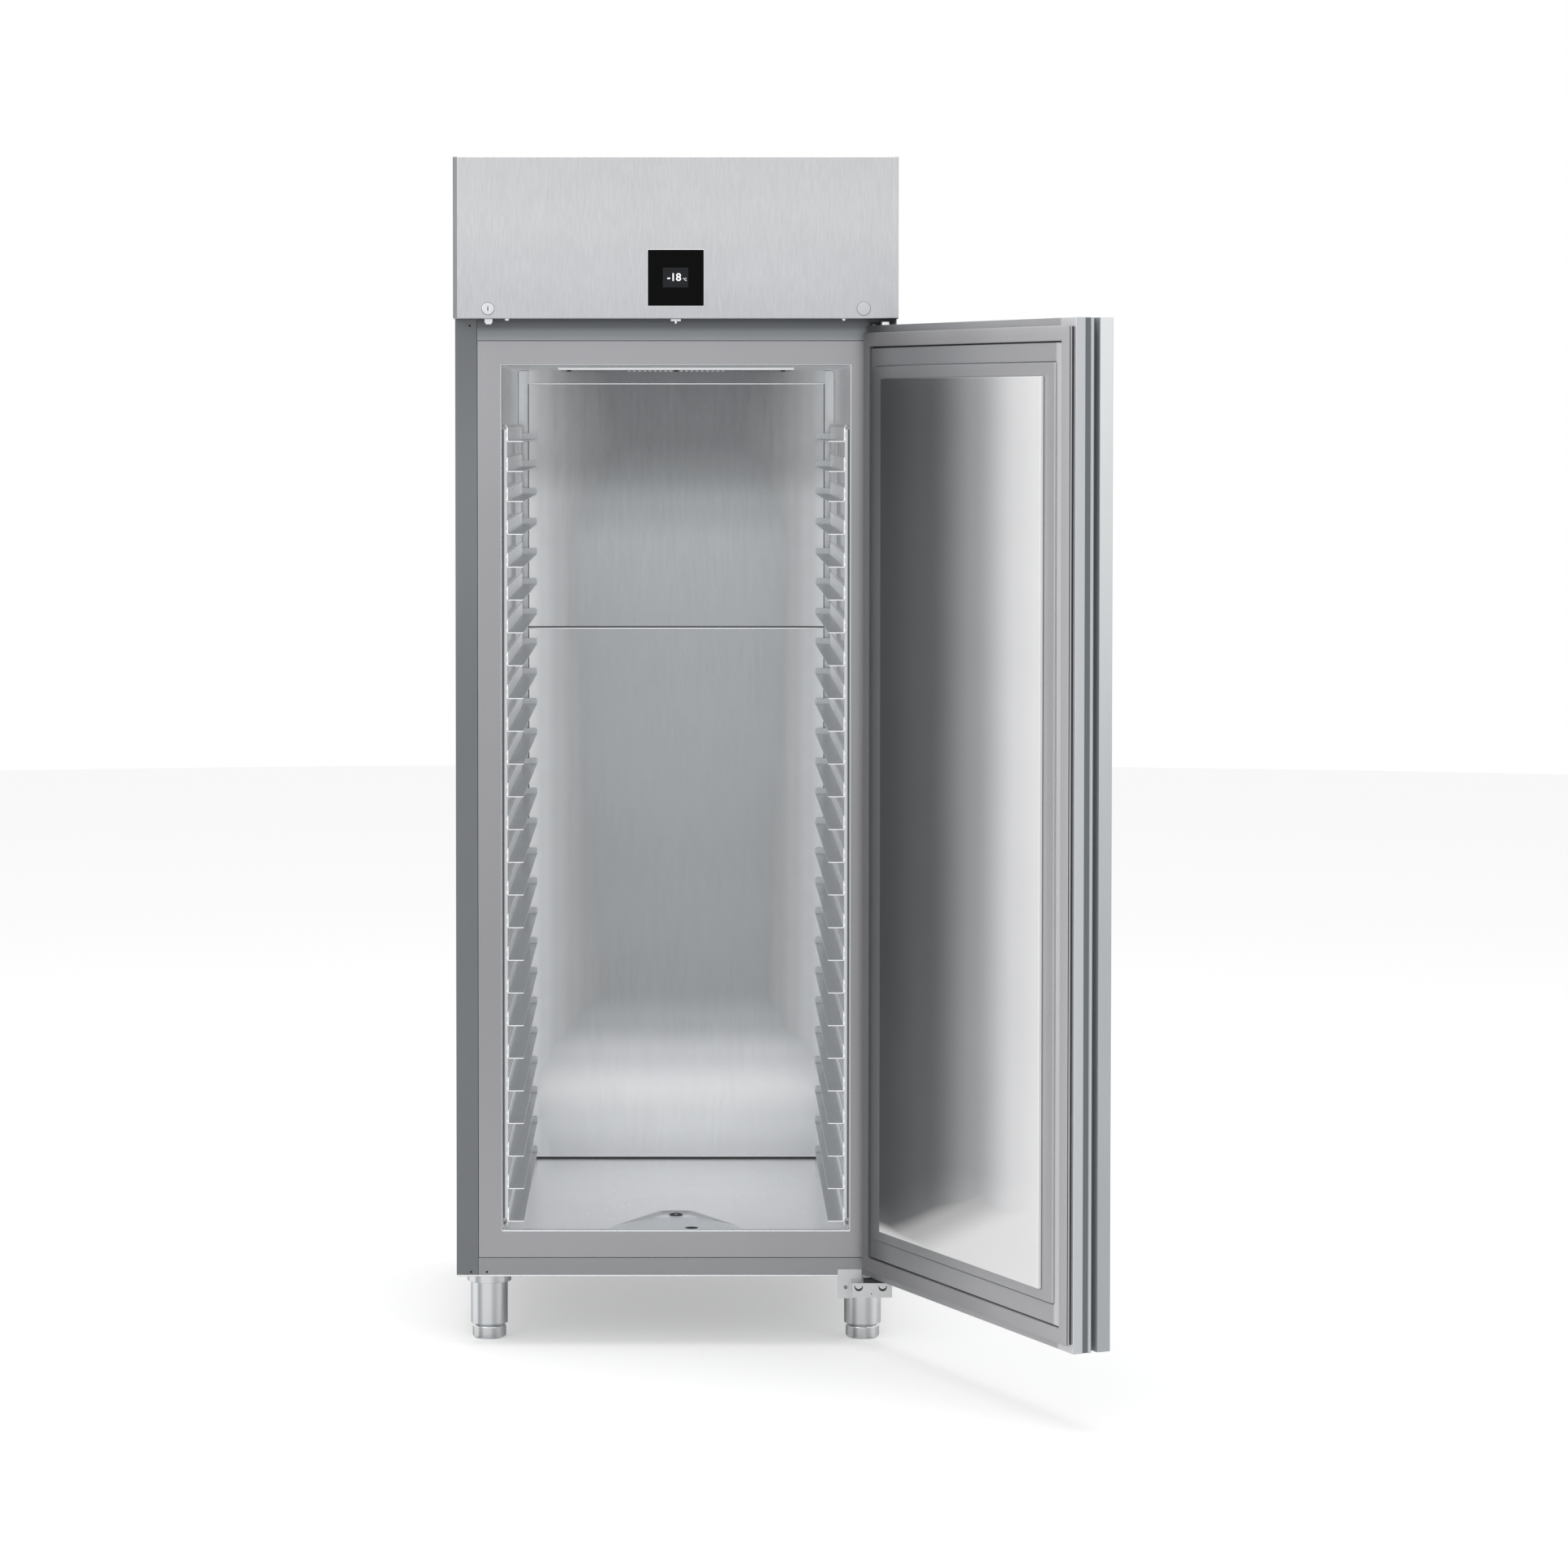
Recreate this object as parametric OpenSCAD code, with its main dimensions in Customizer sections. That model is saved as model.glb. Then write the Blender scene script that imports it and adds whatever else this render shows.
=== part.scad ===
// Upright bakery freezer for 600 x 800 mm trays, with its door standing open.
// X runs to the right, Y to the back and Z up. The origin is on the floor under
// the middle of the cabinet. Depths called "in" are measured back from the head's front.

/* [Cabinet] */
// Height of the insulated cabinet
cab_h = 1722; // [1700:1:1800]
// Height of the machine head
head_h = 286.5; // [270:0.5:340]
// Height of the cabinet's underside above the floor
leg_h = 128; // [124:1:140]
// Sheet steel thickness
sheet = 1; // [0.8:0.1:1.5]
// Insulation and sheets of one side wall
side_wall = 83.5; // [81:0.5:85]
// Insulation and sheets of the rear wall
rear_wall = 50; // [45:1:60]
// Insulation and sheets above the cavity
top_wall = 82.5; // [75:0.5:90]
// Insulation and sheets below the cavity
floor_wall = 84; // [80:0.5:95]

/* [Front frame] */
// Width of the front frame beside the cavity
frame_side = 44.5; // [35:0.5:50]
// Height of the front frame above the cavity
frame_top = 45; // [35:1:55]
// Height of the front frame below the cavity
frame_low = 50.5; // [40:0.5:60]
// Depth of the front frame
frame_d = 12; // [8:1:20]

/* [Trays] */
// Width of the trays
tray_w = 600; // [590:1:600]
// Play beside a tray
tray_play = 3; // [2:0.5:4]
// Distance of the rails' upright legs from the side walls
rack_d = 8.5; // [7:0.5:12]
// Distance of the racks from the cabinet's front
rack_in = 17; // [14:1:30]
// Length of the rails
rail_l = 805; // [780:1:810]
// Width of a rail's flange
rail_flange = 29; // [20:1:35]
// Height of a rail's upright leg
rail_leg = 26; // [15:1:30]
// Thickness of the rails
rail_t = 1.5; // [1:0.1:2]
// Rails in the even lower part of each side
rail_rows = 23; // [10:1:23]
// Rails in the closer upper part of each side
rail_top_rows = 2; // [1:1:2]
// Rail spacing in the lower part
rail_pitch = 59.05; // [54:0.05:60]
// Rail spacing in the upper part
rail_top_pitch = 53.8; // [50:0.1:54]
// Height of the lowest rail above the cavity floor
rail_low = 12.4; // [9:0.1:20]

/* [Air duct] */
// Gap beside the duct panels
duct_side = 21.5; // [17:0.5:40]
// Gap between the rails and the duct panels
duct_gap = 3.5; // [3:0.5:10]
// Space behind the duct panels
duct_d = 23; // [20:1:23]
// Height of the seam between the duct panels above the cavity floor
duct_seam = 1051; // [700:1:1200]
// Gap under the lower duct panel
duct_foot = 6; // [4:1:8]

/* [Drain] */
// Distance of the drain from the head's front
drain_in = 270; // [200:1:300]
// Outside radius of the drain spout
spout_r = 16; // [12:0.5:20]
// Depth of the floor funnel
funnel_deep = 8; // [4:0.5:12]

/* [Door] */
// Thickness of the door without its gasket
door_t = 70; // [66:1:80]
// Gap beside the closed door
door_side_gap = 2.5; // [1:0.5:5]
// Gap between the closed door and the head
door_top_gap = 11.5; // [10:0.5:14]
// Height of the door's lower edge above the cabinet's underside
door_rise = 6.5; // [5:0.5:9]
// Distance of the hinge axis from the door's edge
hinge_in = 20; // [16:1:24]
// Distance of the hinge axis from the door's front
hinge_back = 44; // [38:1:48]
// Opening angle of the door
door_angle = 113.5; // [60:0.5:116]
// Width of the gasket
gasket_w = 25; // [18:1:28]
// Height of the gasket over the door's rim
gasket_h = 11.2; // [9:0.2:14]
// Distance of the gasket from the door's side edges
gasket_in = 5.5; // [4:0.5:10]
// Distance of the gasket from the door's upper and lower edges
gasket_end = 13; // [8:1:20]
// Height of the door liner's raised field
field_h = 8; // [5:0.5:9]
// Height of the centre panel over the rim
panel_h = 17.5; // [14:0.5:24]
// Depth of the grip groove
grip_deep = 18; // [14:1:22]
// Width of the folded edge in front of the grip groove
grip_lip = 22; // [16:1:26]

/* [Hinges] */
// Radius of the hinge pins
pin_r = 5; // [4:0.5:6]
// Running clearance round the hinge pins
pin_clear = 0.05; // [0.02:0.01:0.1]
// Outside radius of the hinge bushes
bush_r = 9; // [8:0.5:11]

/* [Feet] */
// Radius of a leg tube
leg_r = 33.5; // [28:0.5:36]
// Radius of the collar above a leg tube
collar_r = 40; // [38:0.5:42]
// Height of the collar above a leg tube
collar_h = 24; // [10:1:30]
// How far a foot can be screwed out
foot_travel = 30; // [20:1:40]
// Radius of an adjustable foot
foot_r = 30.5; // [24:0.5:32]
// Height of an adjustable foot below its leg
foot_h = 27; // [22:1:40]
// Sideways distance of the legs from the middle
leg_x = 340; // [330:1:345]
// Distance of the front legs from the head's front
leg_in = 180; // [140:1:200]
// Radius of a foot's screw
foot_screw_r = 8; // [6:0.5:10]

/* [Head] */
// Depth of the front panel of the head
fascia_d = 25; // [20:1:26]
// Side length of the display
display_w = 100; // [80:1:120]
// Height of the display's middle above the head's underside
display_up = 72; // [62:1:120]
// Sideways distance of the lock and the blanking cap
lock_x = 333; // [300:1:345]
// Height of the lock above the head's underside
lock_up = 17.5; // [16:0.5:24]
// Radius of the lock's collar
lock_r = 10.8; // [10:0.1:12]
// Travel of the lock bolt
bolt_travel = 11; // [8:1:11]
// Radius of the condenser fan
fan_r = 105; // [90:1:110]
// Radius of the evaporator fan
cold_fan_r = 85; // [70:1:90]
// Radius of the fan motors
motor_r = 36; // [28:1:40]
// Length of the fan motors
motor_l = 45; // [35:1:50]
// Depth of the condenser's shroud
shroud_d = 40; // [36:1:50]

/* [Hidden] */
$fn = 48;
eps = 0.01;
gap = 0.3;
seam = 0.05;
overhang = door_t + gasket_h + gap;
cab_d = overhang + rack_in + rail_l + duct_gap + duct_d + rear_wall;
front = -cab_d / 2;
back = cab_d / 2;
half = tray_w / 2 + tray_play + rack_d + side_wall;
deck = leg_h + cab_h;
roof = deck + head_h;
cab_front = front + overhang;
cav_x = half - side_wall;
cav_lo = leg_h + floor_wall;
cav_hi = deck - top_wall;
cav_front = cab_front + frame_d;
cav_back = back - rear_wall;
strip_x = cav_x + frame_side;
strip_lo = cav_lo - frame_low;
strip_hi = cav_hi + frame_top;

rack_x = tray_w / 2 + tray_play;
rack_front = cab_front + rack_in;
rack_rim = 25;
window_l = 460;
rail_z = [for (i = [0 : rail_rows - 1]) cav_lo + rail_low + i * rail_pitch];
rail_z_top = [for (i = [1 : rail_top_rows]) rail_z[rail_rows - 1] + i * rail_top_pitch];
all_rails = concat(rail_z, rail_z_top);
rack_top = all_rails[len(all_rails) - 1] + rail_leg + 4;
rack_low = cav_lo + 3;
stop_h = 13;

duct_x = cav_x - duct_side;
duct_y = cav_back - duct_d;
duct_t = 1.2;
duct_top = cav_hi - 26.5;
return_y = front + 550;
return_l = 190;
return_w = 200;
supply_w = 480;
duct_set = 3;
supply_y = duct_y + duct_set + duct_t + 1;
supply_l = cav_back - supply_y - 1;
cover_front = front + 450;
cover_back = duct_y - 60;
cover_x = 220;
cover_t = 1.5;
cover_off = 2.5;
cover_screw_x = cover_x - 20;
fascia_screw_x = half - 96;

drain_y = front + drain_in;
spout_low = leg_h - 28;
spout_bore = spout_r - 2.5;
spout_neck = spout_r + 2;
flange_r = spout_r + 8;
funnel_x0 = 131;
funnel_x1 = flange_r + 2;
funnel_front = cav_front + 2;
funnel_back = drain_y + flange_r + 2;

door_x = half - door_side_gap;
door_lo = leg_h + door_rise;
door_hi = deck - door_top_gap;
door_mid = (door_lo + door_hi) / 2;
door_half = (door_hi - door_lo) / 2;
hinge_x = door_x - hinge_in;
hinge_y = front + hinge_back;
rim_y = front + door_t;
seal_x = door_x - gasket_in - gasket_w;
seal_z = door_half - gasket_end - gasket_w;
field_gap = 2.5;
field_x = seal_x - field_gap;
field_z = seal_z - field_gap;
step_x = field_x - 18.5;
step_lo = cav_lo - 1.5;
step_hi = cav_hi - 2.5;
step_h = 3;
panel_x = cav_x - 9.5;
panel_lo = cav_lo + 17;
panel_hi = cav_hi - 24.5;
grip_w = 28.5;
cap_h = 18;
core_x0 = -door_x + grip_w;
core_x1 = door_x - sheet;
swing_r = overhang - hinge_back - gap;
fold = 20;
hole_r = 2.2;
back_leg_y = back - 80;
screw_l = foot_travel + 20;
front_leg_y = front + leg_in;

lock_z = deck + lock_up;
base_t = 2;
bolt_y = front + fascia_d + 3;
bolt_t = 4;
bolt_w = 14;
bolt_head_w = 24;
bolt_tip = door_hi + 2;
cam_r = bolt_travel / sqrt(2);
cam_x = cam_r * cos(45);
cam_pin_r = 1.5;
plug_r = 6;
lock_bore = 9.5;

bracket_x0 = hinge_x - 81;
block_x0 = hinge_x - 57;
block_x1 = hinge_x + 15;
block_hi = door_lo - 9.5;
block_h = 26;
top_bracket_t = 5;
screw_r = 3;
head_r = 5;
head_t = 1;

fan_y = front + 228;
fan_x = 190;
fan_z = deck + base_t + 18 + fan_r;
cond_w = 290;
cond_h = 232;
cond_d = 60;
cond_y = fan_y - shroud_d - cond_d;
cond_z = deck + base_t;
comp_x = -210;
comp_y = front + 260;
comp_r = 88;
comp_h = 185;
box_x = 300;
box_y0 = return_y - 40;
box_y1 = back - sheet;
box_wall = 40;
box_hi = roof - 24;
cold_x = 0;
cold_y = return_y + return_l / 2;
cold_z = deck + base_t + 12;
coil_y = return_y + return_l + 25;
coil_d = 70;
coil_z = deck + base_t + 6;
coil_h = 150;
coil_x = 220;
port_z = coil_z + coil_h * 4 / 5;
return_z = coil_z + coil_h / 5;
liquid_x = fan_x + cond_w / 2 + 22;
dryer_y = front + 370;
dryer_l = 120;
inlet_x = 345;
inlet_z = deck + 54;

// Shared helpers

// Box between two corners
module block(a, b) {
  translate(a) cube(b - a);
}

// Upright cylinder from one height to another
module post(x, y, z0, z1, r) {
  translate([x, y, z0]) cylinder(h = z1 - z0, r = r);
}

// Cylinder that runs back from y0 to y1
module rod_y(x, z, y0, y1, r) {
  translate([x, y1, z]) rotate([90, 0, 0]) cylinder(h = y1 - y0, r = r);
}

// Cylinder that runs right from x0 to x1
module rod_x(y, z, x0, x1, r) {
  translate([x0, y, z]) rotate([0, 90, 0]) cylinder(h = x1 - x0, r = r);
}

// Cross-section of a rectangular ring with its inside filled; the profile starts 1 mm inside
module ring_section(a, profile, y0, y1) {
  polygon([[-a, y0], [a, y0], [a, y1], [-a, y1]]);
  translate([a, 0]) polygon(profile);
  mirror([1, 0]) translate([a, 0]) polygon(profile);
}

// Rectangular ring round the half sizes a and b, centred at height z. The profile's
// first value runs outwards from there, and its section has no inner hollow.
module ring(a, b, z, profile, y0, y1) {
  long = 4 * (a + b);
  translate([0, 0, z]) difference() {
    intersection() {
      linear_extrude(long, center = true) ring_section(a, profile, y0, y1);
      rotate([0, -90, 0]) linear_extrude(long, center = true) ring_section(b, profile, y0, y1);
    }
    block([-a, y0 - 1, -b], [a, y1 + 1, b]);
  }
}

// Turns the closed door to where it stands open
module opened() {
  translate([hinge_x, hinge_y, 0]) rotate([0, 0, door_angle])
    translate([-hinge_x, -hinge_y, 0]) children();
}

// Cabinet casing

// Side sheet with a folded strip at the front and a fold at the back
module casing_side() {
  translate([0, 0, leg_h]) linear_extrude(cab_h) polygon([
    [-half, cab_front], [-strip_x, cab_front], [-strip_x, cab_front + sheet],
    [-half + sheet, cab_front + sheet], [-half + sheet, back - sheet],
    [-half + fold, back - sheet], [-half + fold, back], [-half, back]]);
}

module casing_left() {
  color("#8C8E90") difference() {
    casing_side();
    for (z = [leg_h + 8, deck - 11]) rod_y(-half + 26, z, cab_front - 1, cab_front + sheet + 1, hole_r);
  }
}

module casing_right() {
  color("#8C8E90") mirror([1, 0, 0]) casing_side();
}

module casing_back() {
  color("#9A9C9E") block([-half + fold, back - sheet, leg_h], [half - fold, back, deck]);
}

// Bottom sheet with a folded strip at the front; the spout passes through it
module casing_bottom() {
  color("#8C8E90") difference() {
    union() {
      block([-half + sheet, cab_front + sheet, leg_h], [half - sheet, back - sheet, leg_h + sheet]);
      block([-strip_x, cab_front, leg_h], [strip_x, cab_front + sheet, strip_lo]);
    }
    post(0, drain_y, leg_h - 1, leg_h + 2 * sheet, spout_neck + gap);
    rod_y(-strip_x + 15.5, leg_h + 8, cab_front - 1, cab_front + sheet + 1, hole_r);
  }
}

// Passages for the cold air through the top wall
module air_passages(z0, z1) {
  block([-return_w / 2, return_y, z0], [return_w / 2, return_y + return_l, z1]);
  block([-supply_w / 2, supply_y, z0], [supply_w / 2, supply_y + supply_l, z1]);
}

module casing_top() {
  color("#8C8E90") difference() {
    union() {
      block([-half + sheet, cab_front + sheet, deck - sheet], [half - sheet, back - sheet, deck]);
      block([-strip_x, cab_front, strip_hi], [strip_x, cab_front + sheet, deck]);
    }
    air_passages(deck - 2 * sheet, deck + sheet);
  }
}

// Insulation

// Space of the floor funnel, grown by the given amount
module funnel(grow) {
  intersection() {
    translate([0, 0, cav_lo - 3 * funnel_deep]) linear_extrude(4 * funnel_deep) polygon([
      [-funnel_x0 - grow, funnel_front - grow], [funnel_x0 + grow, funnel_front - grow],
      [funnel_x1 + grow, funnel_back + grow], [-funnel_x1 - grow, funnel_back + grow]]);
    translate([-funnel_x0 - 2, 0, 0]) rotate([90, 0, 90]) linear_extrude(2 * funnel_x0 + 4) polygon([
      [funnel_front - grow, cav_lo + eps], [funnel_front - grow, cav_lo - grow],
      [drain_y - flange_r, cav_lo - funnel_deep - grow],
      [funnel_back + grow, cav_lo - funnel_deep - grow], [funnel_back + grow, cav_lo + eps]]);
  }
}

// Rigid insulation between the casing and the liner
module foam_body() {
  difference() {
    union() {
      block([-half + sheet, cav_front, leg_h + sheet], [half - sheet, back - sheet, deck - sheet]);
      difference() {
        block([-half + sheet, cab_front + sheet, leg_h + sheet], [half - sheet, cav_front, deck - sheet]);
        block([-strip_x, cab_front, strip_lo], [strip_x, cav_front + eps, strip_hi]);
      }
    }
    block([-cav_x - sheet, cav_front - 1, cav_lo - sheet], [cav_x + sheet, cav_back + sheet, cav_hi + sheet]);
    funnel(sheet);
    post(0, drain_y, leg_h, cav_lo, spout_neck);
    post(0, drain_y, cav_lo - funnel_deep - sheet - 3, cav_lo, flange_r);
    air_passages(cav_hi, deck);
  }
}

// The insulation comes as five slabs: both sides, rear, floor and ceiling
module cabinet_foam() {
  a = cav_x + sheet;
  b = cav_back + sheet;
  color("#E6DEC0") for (slab = [
    [[-half, front, leg_h], [-a - seam, back, deck]],
    [[a + seam, front, leg_h], [half, back, deck]],
    [[-a + seam, b + seam, leg_h], [a - seam, back, deck]],
    [[-a + seam, front, leg_h], [a - seam, b - seam, cav_lo - sheet]],
    [[-a + seam, front, cav_hi + sheet], [a - seam, b - seam, deck]]]) intersection() {
      foam_body();
      block(slab[0], slab[1]);
    }
}

module inner_liner() {
  floor_z = cav_lo - funnel_deep;
  color("#C2C4C6") difference() {
    union() {
      block([-cav_x - sheet, cav_front, cav_lo - sheet], [cav_x + sheet, cav_back + sheet, cav_hi + sheet]);
      funnel(sheet);
    }
    block([-cav_x, cav_front - 1, cav_lo], [cav_x, cav_back, cav_hi]);
    funnel(0);
    post(0, drain_y, floor_z - 4 * sheet, floor_z + 1, spout_r + gap);
    air_passages(cav_hi - 1, cav_hi + 2 * sheet);
  }
}

// Side of the front frame that runs from one height to the other with mitred ends;
// its profile runs outwards from the cavity and has a bevelled inner edge
module frame_strip(inner, wide, lo, hi) {
  bevel = 3;
  intersection() {
    linear_extrude(4 * deck, center = true) polygon([[inner, cav_front], [inner, cab_front + bevel],
      [inner + bevel, cab_front], [inner + wide, cab_front], [inner + wide, cav_front]]);
    translate([0, cav_front + 1, 0]) rotate([90, 0, 0]) linear_extrude(frame_d + 2) polygon([
      [inner, lo + seam], [inner + 2 * wide, lo - 2 * wide + seam],
      [inner + 2 * wide, hi + 2 * wide - seam], [inner, hi - seam]]);
  }
}

// Front frame that bridges casing and liner: four strips that meet at mitred corners
module front_frame() {
  color("#A9AAAC") intersection() {
    block([-strip_x, cab_front, strip_lo], [strip_x, cav_front, strip_hi]);
    union() {
      for (s = [0, 1]) mirror([s, 0, 0]) frame_strip(cav_x, frame_side, cav_lo, cav_hi);
      rotate([0, -90, 0]) frame_strip(cav_hi, frame_top, -cav_x, cav_x);
      rotate([0, -90, 0]) mirror([1, 0, 0]) frame_strip(-cav_lo, frame_low, -cav_x, cav_x);
    }
  }
}

// Drain

module drain_spout() {
  seat_z = cav_lo - funnel_deep - sheet;
  color("#7A7D80") difference() {
    union() {
      post(0, drain_y, spout_low, seat_z, spout_r);
      post(0, drain_y, leg_h, seat_z, spout_neck);
      post(0, drain_y, seat_z - 3, seat_z, flange_r);
    }
    post(0, drain_y, spout_low - 1, seat_z + 1, spout_bore);
  }
}

// Dark ring with a cross that catches crumbs
module drain_strainer() {
  seat_z = cav_lo - funnel_deep;
  color("#2A2B2D") {
    difference() {
      union() {
        post(0, drain_y, seat_z, seat_z + 2.5, flange_r - 4);
        post(0, drain_y, seat_z - 12, seat_z, spout_bore - gap);
      }
      post(0, drain_y, seat_z - 13, seat_z + 4, spout_bore - 2.5);
    }
    block([-spout_bore + 2, drain_y - 1.5, seat_z - 4], [spout_bore - 2, drain_y + 1.5, seat_z - 1]);
    block([-1.5, drain_y - spout_bore + 2, seat_z - 4], [1.5, drain_y + spout_bore - 2, seat_z - 1]);
  }
}

// Rubber stopper, parked on the funnel's sloping floor
module drain_stopper() {
  run = drain_y - flange_r - funnel_front;
  lean = atan(funnel_deep / run);
  from = 12;
  color("#35373A") translate([28.5, funnel_front + from, cav_lo - from * funnel_deep / run])
    rotate([-lean, 0, 0]) {
      cylinder(h = 3, r = spout_bore - 2);
      translate([0, 0, 3 - eps]) cylinder(h = 2, r = 5);
    }
}

// Air duct and ceiling

module duct_panel_upper() {
  z0 = cav_lo + duct_seam;
  color("#B4B6B8") {
    block([-duct_x, duct_y, z0 + gap], [duct_x, duct_y + duct_t, duct_top]);
    block([-duct_x, duct_y, duct_top - duct_t], [duct_x, duct_y + duct_set + duct_t, duct_top]);
    block([-duct_x, duct_y + duct_set, duct_top - duct_t], [duct_x, duct_y + duct_set + duct_t, cav_hi]);
    for (s = [-1, 1]) translate([s * (duct_x - duct_t / 2), 0, 0])
      block([-duct_t / 2, duct_y, z0 + gap], [duct_t / 2, cav_back, duct_top]);
  }
}

module duct_panel_lower() {
  z0 = cav_lo + duct_foot;
  z1 = cav_lo + duct_seam;
  color("#B4B6B8") {
    block([-duct_x, duct_y, z0], [duct_x, duct_y + duct_t, z1]);
    block([-duct_x, duct_y - 3, z0], [duct_x, duct_y, z0 + 4]);
    for (s = [-1, 1]) translate([s * (duct_x - duct_t / 2), 0, 0])
      block([-duct_t / 2, duct_y, z0], [duct_t / 2, cav_back, z1]);
  }
}

// Guard plate under the return opening, with a slotted field and folded edges
module ceiling_cover() {
  z1 = cav_hi - cover_off;
  color("#D4D6D8") {
    difference() {
      block([-cover_x, cover_front, z1 - cover_t], [cover_x, cover_back, z1]);
      for (i = [-9 : 9]) translate([i * 10, 0, 0])
        block([-2.5, return_y + 10, z1 - 2 * cover_t], [2.5, return_y + return_l - 10, z1 + 1]);
    }
    difference() {
      block([-cover_x, cover_front, z1 - eps], [cover_x, cover_back, cav_hi]);
      block([-cover_x + 3, cover_front + 3, z1 - 1], [cover_x - 3, cover_back - 3, cav_hi + 1]);
    }
  }
}

// Small screws: three in the ceiling cover and two under the front panel
module panel_screws() {
  z1 = cav_hi - cover_off - cover_t;
  color("#303234") {
    for (x = [-cover_screw_x, 0, cover_screw_x]) post(x, cover_front + 8, z1 - 2.5, z1, 4);
    for (x = [-fascia_screw_x, fascia_screw_x]) post(x, front + fascia_d / 2, deck - 3.5, deck, 4.5);
  }
}

// Racks

// Punched plate on the left wall, with a folded rim at each end and a window under each rail
module rack_plate() {
  x1 = -rack_x;
  x0 = x1 - rail_t;
  rear = rack_front + rail_l;
  difference() {
    block([x0, rack_front, rack_low], [x1, rear, rack_top]);
    for (i = [1 : len(all_rails) - 1]) block([x0 - 1, rack_front + rack_rim, all_rails[i - 1] + rail_leg + 2],
      [x1 + 1, rack_front + rack_rim + window_l, all_rails[i] - 3]);
  }
  block([-cav_x, rack_front, rack_low + 16], [x0 + eps, rack_front + rail_t, rack_top - 8]);
  block([-cav_x, rear - rail_t, rack_low], [x0 + eps, rear, rack_top]);
  for (z = [rack_low, rack_top - rail_t])
    block([-cav_x, rack_front + rack_rim, z], [x0 + eps, rack_front + rack_rim + 30, z + rail_t]);
}

// L-shaped rails with a turned-up stop at the back
module rail_set() {
  x0 = -rack_x;
  rear = rack_front + rail_l;
  for (z = all_rails) translate([0, 0, z]) {
    block([x0, rack_front, 0], [x0 + rail_flange, rear, rail_t]);
    block([x0, rack_front, 0], [x0 + rail_t, rear, rail_leg]);
    block([x0, rear - rail_t, 0], [x0 + rail_flange, rear, stop_h]);
  }
}

module rack_left() {
  color("#D2D4D6") rack_plate();
}

module rack_right() {
  color("#D2D4D6") mirror([1, 0, 0]) rack_plate();
}

module rails_left() {
  color("#C6C8CA") rail_set();
}

module rails_right() {
  color("#C6C8CA") mirror([1, 0, 0]) rail_set();
}

// Legs and feet

module legs() {
  color("#D8DADC") for (x = [-leg_x, leg_x], y = [front_leg_y, back_leg_y]) difference() {
    union() {
      post(x, y, leg_h - collar_h, leg_h, collar_r);
      post(x, y, foot_h, leg_h - collar_h, leg_r);
    }
    post(x, y, foot_h - 1, foot_h + screw_l + 4, foot_screw_r + pin_clear);
  }
}

module foot(x, y) {
  pad = 6;
  color("#C9CBCD") translate([x, y, 0]) rotate_extrude() polygon(concat(
    [[0, 0], [foot_r - pad, 0]],
    [for (a = [-75 : 15 : 0]) [foot_r - pad + pad * cos(a), pad + pad * sin(a)]],
    [[foot_r, foot_h - 5], [foot_r - 3, foot_h - gap], [foot_screw_r, foot_h - gap],
      [foot_screw_r, foot_h + screw_l], [0, foot_h + screw_l]]));
}

module foot_front_left() { foot(-leg_x, front_leg_y); }
module foot_front_right() { foot(leg_x, front_leg_y); }
module foot_back_left() { foot(-leg_x, back_leg_y); }
module foot_back_right() { foot(leg_x, back_leg_y); }

// Hinges

// Lower bracket: a plate on the cabinet's front with a block that carries the pin
module hinge_bracket_low() {
  plate_t = 4;
  plate_x1 = bracket_x0 + 43;
  face = hinge_y - 14;
  color("#C4C6C8") difference() {
    union() {
      block([bracket_x0, cab_front - plate_t, block_hi - 6], [plate_x1, cab_front, strip_lo - 20]);
      block([bracket_x0, cab_front - plate_t, block_hi - 36],
            [bracket_x0 + 20, cab_front, block_hi - 6 + eps]);
      block([block_x0, face, block_hi - block_h], [block_x1, cab_front, block_hi]);
      block([bracket_x0 + 20 - eps, cab_front - 10, block_hi - 34],
            [block_x0 + eps, cab_front, block_hi - 6]);
    }
    rod_y(bracket_x0 + 17, leg_h + 6, cab_front - plate_t - 1, cab_front + 1, screw_r);
    rod_y(bracket_x0 + 14.5, leg_h - 19, cab_front - plate_t - 1, cab_front + 1, 3.5);
    post(hinge_x, hinge_y, block_hi - block_h - 1, block_hi + 1, pin_r);
    rod_y((block_x0 + block_x1) / 2 - 1, block_hi - block_h + 7, face - 1, face + 8, 3);
    for (x = [block_x0 + 12, block_x1 - 17]) difference() {
      rod_y(x, block_hi - 7, face - 1, face + 6, 7.5);
      rod_y(x, block_hi - 4, face - 2, face + 7, 6.5);
      block([x - 9, face - 2, block_hi - 4], [x + 9, face + 7, block_hi + 2]);
    }
  }
}

// Upper bracket under the head, folded down at the cabinet's front
module hinge_bracket_top() {
  x0 = hinge_x - 26;
  x1 = hinge_x + 18;
  color("#3A3C3E") difference() {
    union() {
      block([x0, hinge_y - 14, deck - top_bracket_t], [x1, cab_front, deck]);
      block([x0, cab_front - 3, deck - 22], [x1, cab_front, deck]);
    }
    post(hinge_x, hinge_y, deck - top_bracket_t - 1, deck + 1, pin_r);
    for (x = [x0 + 8, x1 - 8]) rod_y(x, deck - 14, cab_front - 4, cab_front + 1, screw_r);
  }
}

// Countersunk screws that hold both brackets to the cabinet
module hinge_screw(x, z, face) {
  rod_y(x, z, face - head_t, face, head_r);
  rod_y(x, z, face - eps, cab_front, screw_r);
}

module hinge_screws() {
  color("#E2E4E6") {
    hinge_screw(bracket_x0 + 17, leg_h + 6, cab_front - 4);
    for (x = [hinge_x - 18, hinge_x + 10]) hinge_screw(x, deck - 14, cab_front - 3);
  }
}

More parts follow.
